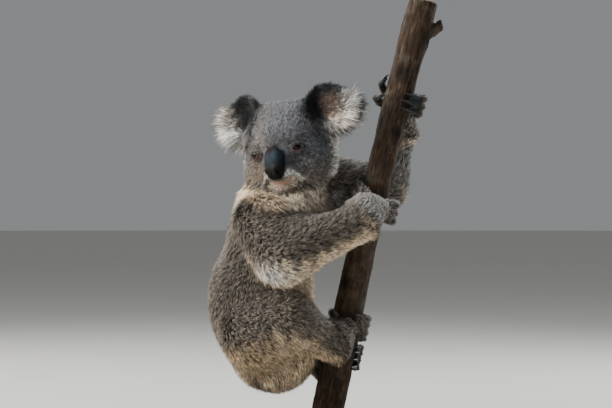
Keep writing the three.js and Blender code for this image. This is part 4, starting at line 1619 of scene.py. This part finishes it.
@dataclass
class Coat:
    """All the fur, in pieces that each hold tufts from the whole of their part of the body."""

    skin: Skin
    material: Material
    body_tufts: int = 144000
    head_tufts: int = 60000
    paw_tufts: int = 22000
    ear_tufts: int = 23000
    most_faces: int = 198000
    seed: int = 7

    def build(self) -> list[Piece]:
        """Grows the coat of the body, the head, the paws and the ears.

        Returns:
            The coat's pieces.
        """
        sizes = self.sizes()
        sower = Sower(self.skin, sizes, self.seed)
        head, paw, ear, density = (sizes[name] for name in ("head", "paw", "ear", "density"))
        body = np.clip(1 - head - paw - ear, 0, 1)
        free = 1 - ease(0.5, 0.75, self.skin.marks["bare"])
        long_locks = {"droop": 0.16, "bend": 18.0, "clump": 12.0, "clump_mm": 6.0, "stray": 17.0}
        pieces = []
        for name, count, weight, style in (
                ("coat_body", self.body_tufts, body * density, {}),
                ("coat_head", self.head_tufts, head * (1 - ear) * density * free, {}),
                ("coat_paw", self.paw_tufts, paw * (1 - self.skin.digit) ** 2, {"clump": 6.0}),
                ("coat_ear", self.ear_tufts, ear * density, long_locks)):
            pieces += self.grow(name, sower, sower.sow(count, weight), style)
        return pieces

    def sizes(self) -> Marks:
        """Works out the tufts' sizes.

        Returns:
            Their length, width, lift and density at each vertex of the skin, and its share of head, paw
            and ear.
        """
        skin, marks = self.skin, self.skin.marks
        local = skin.head.local(points_of(skin.mesh))
        forward, left, up = local.T
        table = {name: skin.share @ np.array([getattr(LIES[region], name) for region in ORDER])
                 for name in ("length", "width", "lift", "density")}
        on_head, temple, drape = skin.part(Region.HEAD), skin.temple(local), skin.drape(local)
        bare, hanging = on_head * bare_face(local), on_head * ruff(local)
        lips = bell((left / 30) ** 2, ((up + 68) / 15) ** 2) * ease(45, 58, forward)
        pale = np.maximum(marks["cream"], marks["white"]) * (1 - on_head)
        length = table["length"] * (1 - 0.62 * bare) * (1 - 0.5 * marks["eyes"] * on_head)
        length = length + 5.0 * skin.ear_base + 9.0 * hanging * (1 - temple) + 6.0 * drape
        length = (length + (14.0 + 11.0 * (left < 0)) * temple) * (1 - 0.68 * lips * on_head)
        table["length"] = length * (1 + 0.25 * pale) * (1 - 0.5 * skin.knuckle)
        table["width"] = table["width"] * (1 - 0.3 * lips * on_head) * (1 - 0.35 * bare) + 0.3 * hanging
        table["lift"] += (5.0 + 7.0 * (left < 0)) * temple - 10.0 * lips - 8.0 * drape - 20.0 * bare
        table["density"] *= 1 + 2.2 * bare + 0.6 * temple
        for name, share in (("head", on_head), ("paw", skin.part(*PAWS)), ("ear", skin.ear)):
            table[name] = np.clip(share, 0, 1)
        self.fringe(table)
        return table

    def fringe(self, table: Marks) -> None:
        """Lengthens the ears' tufts away from the head and downwards, and thins them inside the cup.

        Args:
            table: The tufts' sizes at each vertex, which this changes.
        """
        skin = self.skin
        points, normals = points_of(skin.mesh), normals_of(skin.mesh)
        left = skin.head.local(points)[:, 1]
        for ear in EARS:
            _, across, angle = ear.local(points, skin.head)
            on = table["ear"] * (left * ear.sign > 0)
            outer, rim = ear.fringed(angle), ease(0.4, 0.95, across)
            inner = ease(0.0, 0.4, normals @ ear.place(skin.head)[1][:, 0]) * (1 - ease(0.6, 0.85, across))
            for name, own in (("length", 10 + (4 + ear.fringe * outer) * rim), ("width", 0.85),
                              ("lift", 24 - 10 * outer * rim),
                              ("density", (0.8 + 1.3 * rim * (0.5 + outer)) * (1 - 0.6 * inner))):
                table[name] = table[name] * (1 - on) + own * on

    def grow(self, name: str, sower: Sower, roots: Roots, style: dict[str, float]) -> list[Piece]:
        """Turns roots into pieces of coat, each under the most faces that a piece may hold.

        Args:
            name: The pieces' name.
            sower: Gives the random numbers.
            roots: Where the tufts grow.
            style: Settings of the tufts that differ from the usual ones.

        Returns:
            The pieces.
        """
        count = math.ceil(len(roots) * len(LOCK_FACES) / self.most_faces)
        pieces = []
        for i in range(count):
            own = roots.pick(np.arange(i, len(roots), count))
            spread = sower.random.uniform(0.75, 1.18, len(own))
            tufts = Tufts(own, own.told["length"] * spread, own.told["width"] * (0.6 + 0.4 * spread),
                          own.told["lift"], sower.random, **style)
            label = f"{name}_{i + 1}" if count > 1 else name
            piece = link(label, tufts.mesh(label))
            piece.data.materials.append(self.material)
            pieces.append(piece)
        return pieces


# ---- eyes, nose and claws ----

@dataclass
class Eyes:
    """Two eyeballs with a bulging cornea, behind the lids, in millimetres."""

    head: HeadFrame
    iris_radius: float = 7.6
    bulge: float = 0.9
    slit: tuple[float, float] = (1.5, 4.6)

    def build(self, material: Material) -> list[Piece]:
        """Makes both eyes."""
        return [self.build_one(side, material) for side in SIDES]

    def build_one(self, side: str, material: Material) -> Piece:
        """Makes one eye, with the iris where it looks.

        Args:
            side: left or right.
            material: The eye's finish.

        Returns:
            The eye.
        """
        eye = add_ball(f"eyeball_{side}", 48, 32)
        ball, radius = points_of(eye.data), self.head.eye_radius
        look, up = self.head.way(0.86, 0.5 if side == "left" else -0.5, -0.02), self.head.way(0, 0, 1)
        up = unit(up - look * dots(up, look))
        flat, front = np.hypot(ball[:, 0], ball[:, 1]) * radius, ball[:, 2] > 0
        rise = self.bulge * (1 - ease(0, self.iris_radius, flat)) * front
        places = ball * (radius + rise)[:, None] * MM
        move_points(eye.data, places @ np.stack([np.cross(up, look), up, look]) + middle_of(f"eye_{side}"))
        store(eye.data, "ring", np.where(front, np.minimum(flat / self.iris_radius, 2.0), 2.0))
        slit = np.hypot(*(ball[:, :2] * radius / self.slit).T)
        store(eye.data, "slit", np.where(front, slit, 3.0))
        return dress(eye, material)


@dataclass
class NosePad:
    """The tall bare pad of the nose, with a nostril on each side of its lower end, in millimetres."""

    head: HeadFrame
    half_width: float = 16.9
    half_height: float = 29.8
    depth: float = 15.5
    slope: float = 12.0
    forward: float = 81.5
    up: float = -28.0
    boxiness: float = 3.0
    squareness: float = 3.6
    nostril_side: float = 11.5
    nostril_up: float = -19.5
    nostril_size: tuple[float, float] = (3.4, 5.0)
    nostril_depth: float = 6.5
    nostril_rim: float = 1.0
    groove_depth: float = 1.5
    groove_width: float = 1.3

    def build(self, material: Material) -> Piece:
        """Makes the pad.

        Args:
            material: The pad's finish.

        Returns:
            The pad.
        """
        pad = add_ball("nose_pad", 112, 80)
        ball = points_of(pad.data)
        flat = (np.abs(ball[:, 1:]) ** self.squareness).sum(axis=1) ** (1 / self.squareness)
        size = (np.abs(ball[:, 0]) ** self.boxiness + flat ** self.boxiness) ** (1 / self.boxiness)
        ahead, left, height = (ball / size[:, None]).T
        width = self.half_width * (0.96 - 0.07 * ease(0.3, 1.0, height) - 0.2 * ease(-0.4, -1.0, height))
        x = ahead * self.depth * (1 - 0.1 * height)
        y, z = left * width, height * self.half_height
        front, (wide, tall) = ease(-0.1, 0.25, ahead), self.nostril_size
        for side in (1, -1):
            away = (y - side * self.nostril_side) * side
            hole = np.hypot(away / wide, (z - self.nostril_up + 0.7 * away) / tall)
            sunk = self.nostril_depth * (1 - ease(0.3, 1.15, hole))
            x = x + (self.nostril_rim * bell((hole - 1.6) / 0.5) - sunk) * front
        x = x - self.groove_depth * bell(y / self.groove_width) * ease(-14, -25, z) * front
        turned = np.array(self.head.axes @ rotation(0, -self.slope, 0))
        middle = self.head.at(self.forward, 0, self.up)
        move_points(pad.data, np.stack([x, y, z], axis=1) * MM @ turned.T + middle)
        # low drives the painted slate reflection at the pad's top; edge drives the painted shade along its
        # upper rim.
        store(pad.data, "low", (1 - height) / 2)
        store(pad.data, "edge", ease(0.985, 0.88, ahead) * ease(0.35, 0.85, height - 0.25 * left))
        return dress(pad, material)


@dataclass
class Claws:
    """Every claw of the hands and feet, each rounded from its faceted solid."""

    levels: int = 3
    buried: float = 4.0
    swollen: float = 0.45

    def build(self, material: Material) -> list[Piece]:
        """Makes the claws."""
        nodes = sorted(name for name in frame["nodes"] if name.startswith("claw_"))
        return [self.build_one(node, material) for node in nodes]

    def build_one(self, node: str, material: Material) -> Piece:
        """Rounds one claw.

        Args:
            node: The solid's name.
            material: The claw's finish.

        Returns:
            The claw.
        """
        claw = merged_copy(node, node.replace("claw", "horn"), 0.01)
        root, way = claw_line(node)
        points = points_of(claw.data)
        along = (points - root) @ way
        share = (along / along.max())[:, None]
        points = points + normals_of(claw.data) * self.swollen * MM * (1 - share)
        move_points(claw.data, points - way * (share < 0.3) * self.buried * MM)
        add_modifier(claw, "SUBSURF", levels=self.levels, render_levels=self.levels)
        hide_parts(node)
        return dress(claw, material)


# ---- trunk and stand ----

@dataclass(frozen=True)
class Knot:
    """A dark scar on the bark: its height, its angle in degrees, its size, and its rise in millimetres."""

    height: float
    angle: float
    size: float
    rise: float


@dataclass
class Perch:
    """The length of trunk: bark with long ridges and knots, and sawn ends.

    The voxels and ridges are in millimetres, and the other lengths in metres.
    """

    lean: float = 13.2
    voxel: float = 2.4
    ridge: float = 1.7
    widening: float = 0.09
    widens: tuple[float, float] = (0.685, 0.765)
    branch_foot: tuple[float, float] = (0.715, 0.735)
    shortening: float = 0.25
    thickening: float = 0.3
    end_depth: float = 0.02
    bark_radius: float = 0.026
    knots: tuple[Knot, ...] = (
        Knot(0.686, -104, 0.015, 2.0), Knot(0.577, -62, 0.010, 3.0), Knot(0.746, -24, 0.014, 4.0),
        Knot(0.30, -130, 0.012, 3.0), Knot(0.52, 120, 0.014, 3.5), Knot(0.18, 40, 0.012, 3.0),
        Knot(0.43, 175, 0.010, 3.0))

    def build(self, material: Material) -> Piece:
        """Makes the bark's relief over the solid trunk.

        Args:
            material: The bark's finish.

        Returns:
            The trunk.
        """
        trunk = merged_copy("perch_trunk", "trunk_bark", 0.02)
        add_modifier(trunk, "REMESH", mode="VOXEL", voxel_size=self.voxel * MM)
        mesh = trunk.data
        sawn = self.sawn_ends(mesh)
        move_points(mesh, self.swell(Neighbours(mesh).spread(points_of(mesh), 8, 0.5 * (1 - sawn))))
        knot = self.relief(mesh, sawn)
        store(mesh, "sawn", Neighbours(mesh).spread(sawn, 1))
        store(mesh, "knot", knot)
        return dress(trunk, material)

    def sawn_ends(self, mesh: Mesh) -> Array:
        """Finds the trunk's sawn ends.

        Args:
            mesh: The trunk's mesh.

        Returns:
            1 on them and 0 away from them.
        """
        low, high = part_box("perch_trunk")
        normals, z = normals_of(mesh), points_of(mesh)[:, 2]
        along = np.array([math.sin(math.radians(self.lean)), 0, math.cos(math.radians(self.lean))])
        near_end = (z < low[2] + self.end_depth) | (z > high[2] - self.end_depth)
        ends = ease(0.8, 0.93, np.abs(dots(normals, along))) * near_end
        return np.maximum(ends, (normals[:, 2] < -0.9) * (z < low[2] + 0.01))

    def swell(self, points: Array) -> Array:
        """Widens the trunk's top and makes its cut side branch short and thick.

        Args:
            points: The trunk's points.

        Returns:
            The points, moved.
        """
        low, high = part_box("perch_trunk")
        x, y, z = points.T
        radius = (high[1] - low[1]) / 2
        middle = low[0] + radius + (z - low[2]) * math.tan(math.radians(self.lean))
        across = np.stack([x - middle, y, 0 * z], axis=1)
        past = np.maximum(np.linalg.norm(across, axis=1) - radius * 1.04, 0) * ease(*self.branch_foot, z)
        wide = self.widening * ease(*self.widens, z) * (1 - ease(0, 0.01, past))
        points = points + across * wide[:, None] - unit(across) * (self.shortening * past)[:, None]
        aside = points - points[past > 0.006].mean(axis=0)
        aside -= unit(across) * dots(aside, unit(across))[:, None]
        return points + aside * (self.thickening * ease(0.0, 0.016, past))[:, None]

    def relief(self, mesh: Mesh, sawn: Array) -> Array:
        """Raises ridges along the fibres and swellings at the knots.

        Args:
            mesh: The trunk's mesh.
            sawn: 1 on the sawn ends, which stay flat.

        Returns:
            How dark each knot makes each vertex.
        """
        points, normals = points_of(mesh), normals_of(mesh)
        x, y, z = points.T
        straight = np.stack([x - z * math.tan(math.radians(self.lean)), y, z], axis=1)
        rise = self.ridge * sum(
            share * np.array([noise.noise(Vector(place)) for place in straight * scale])
            for share, scale in ((1.0, [130, 130, 26]), (0.5, [340, 340, 80])))
        dark = np.zeros(len(points))
        for knot in self.knots:
            angle = math.radians(knot.angle)
            middle = points[np.abs(z - knot.height) < 0.004].mean(axis=0)
            spot = middle + self.bark_radius * np.array([math.cos(angle), math.sin(angle), 0])
            away = np.linalg.norm((points - spot) / [1, 1, 1.5], axis=1) / knot.size
            rise += knot.rise * (bell(away) - 1.4 * bell(away / 0.4))
            dark = np.maximum(dark, 0.95 * bell(away / 0.85, power=2))
        move_points(mesh, points + normals * (rise * (1 - sawn) * MM)[:, None])
        return dark


@dataclass
class DisplayStand:
    """The board and rod, with a screwed steel flange at the rod's foot, in millimetres."""

    flange_radius: float = 27.0
    flange_height: float = 4.5
    hub_radius: float = 15.0
    hub_height: float = 12.0
    bore_radius: float = 11.4
    bore_depth: float = 10.8
    screws: int = 3
    screw_circle: float = 21.0
    screw_radius: float = 3.6

    def build(self, board: Material, steel: Material) -> list[Piece]:
        """Dresses the board and the rod, and adds the flange and its screws.

        Args:
            board: The board's finish.
            steel: The rod's finish.

        Returns:
            The new pieces.
        """
        for node, material in (("stand_base", board), ("stand_rod", steel)):
            mesh = frame["nodes"][node].data
            mesh.materials.clear()
            mesh.materials.append(material)
        foot = middle_of("stand_rod")
        foot[2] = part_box("stand_rod")[0][2]
        pieces = [self.flange(foot, steel)]
        for i in range(self.screws):
            angle = 2 * math.pi * i / self.screws + 0.5
            spot = foot + np.array([math.cos(angle), math.sin(angle), 0]) * self.screw_circle * MM
            pieces.append(self.screw(f"flange_screw_{i + 1}", spot, steel))
        return pieces

    def flange(self, foot: Array, steel: Material) -> Piece:
        """Makes the flange round the rod: a plate with a raised hub, turned in one.

        Args:
            foot: The middle of the rod's lower end.
            steel: The flange's finish.

        Returns:
            The flange.
        """
        bpy.ops.mesh.primitive_cylinder_add(vertices=64, radius=self.flange_radius * MM,
                                            depth=self.flange_height * MM, end_fill_type="NGON")
        plate = bpy.context.object
        plate.name = "rod_flange"
        bpy.ops.object.mode_set(mode="EDIT")
        for face in bmesh.from_edit_mesh(plate.data).faces:
            face.select = abs(face.normal.z) > 0.9 and face.calc_center_median().z > 0
        bmesh.update_edit_mesh(plate.data)
        for inset, rise in ((self.flange_radius - self.hub_radius, self.hub_height - self.flange_height),
                            (self.hub_radius - self.bore_radius, -self.bore_depth)):
            bpy.ops.mesh.inset(thickness=inset * MM)
            bpy.ops.mesh.extrude_region_move(TRANSFORM_OT_translate={"value": (0, 0, rise * MM)})
        bpy.ops.object.mode_set(mode="OBJECT")
        add_modifier(plate, "BEVEL", width=0.7 * MM, segments=2, limit_method="ANGLE")
        move_points(plate.data, points_of(plate.data) + foot + [0, 0, self.flange_height / 2 * MM])
        dress(plate, steel)
        bpy.ops.object.shade_smooth_by_angle(angle=math.radians(40))
        return plate

    def screw(self, name: str, spot: Array, steel: Material) -> Piece:
        """Makes one round screw head with a slot.

        Args:
            name: The screw's name.
            spot: Its place under the flange.
            steel: Its finish.

        Returns:
            The screw's head.
        """
        head = add_ball(name, 24, 12, self.screw_radius * MM)
        points = points_of(head.data)
        points[:, 2] *= np.where(points[:, 2] > 0, 0.55, 0.2)
        points[(np.abs(points[:, 1]) < 0.5 * MM) & (points[:, 2] > 0.4 * MM), 2] -= 0.9 * MM
        move_points(head.data, points + spot + [0, 0, self.flange_height * MM])
        return dress(head, steel)


# ---- the whole ----

def ride_root(pieces: Iterable[Piece]) -> None:
    """Fixes pieces to the body and logs them.

    Args:
        pieces: The pieces.
    """
    for piece in pieces:
        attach(piece, "root")
        log.info("%s: %d faces", piece.name, len(piece.data.polygons))


def main() -> None:
    """Builds every sub-assembly in order."""
    logging.basicConfig(level=logging.INFO, format="%(message)s")
    Stage().build()
    head, fur, perch = HeadFrame(), FurFinish(), Perch()
    flesh = Skin(head)
    skin = flesh.build(SkinFinish(fur).make())
    ride_root([skin])
    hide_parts(*FLESH, "ear_left", "ear_right")
    ride_root(Coat(flesh, fur.make()).build())
    eyes = Eyes(head).build(EyeFinish().make())
    ride_root(eyes)
    for side, eye in zip(SIDES, eyes):
        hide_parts(f"eye_{side}")
    pad = NosePad(head).build(NosePadFinish().make())
    ride_root([pad])
    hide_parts("nose")
    ride_root(Claws().build(ClawFinish().make()))
    trunk = perch.build(BarkFinish(perch.lean).make())
    ride_root([trunk])
    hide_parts("perch_trunk")
    ride_root(DisplayStand().build(BoardFinish().make(), SteelFinish().make()))


if __name__ == "__main__":
    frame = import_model()
    main()
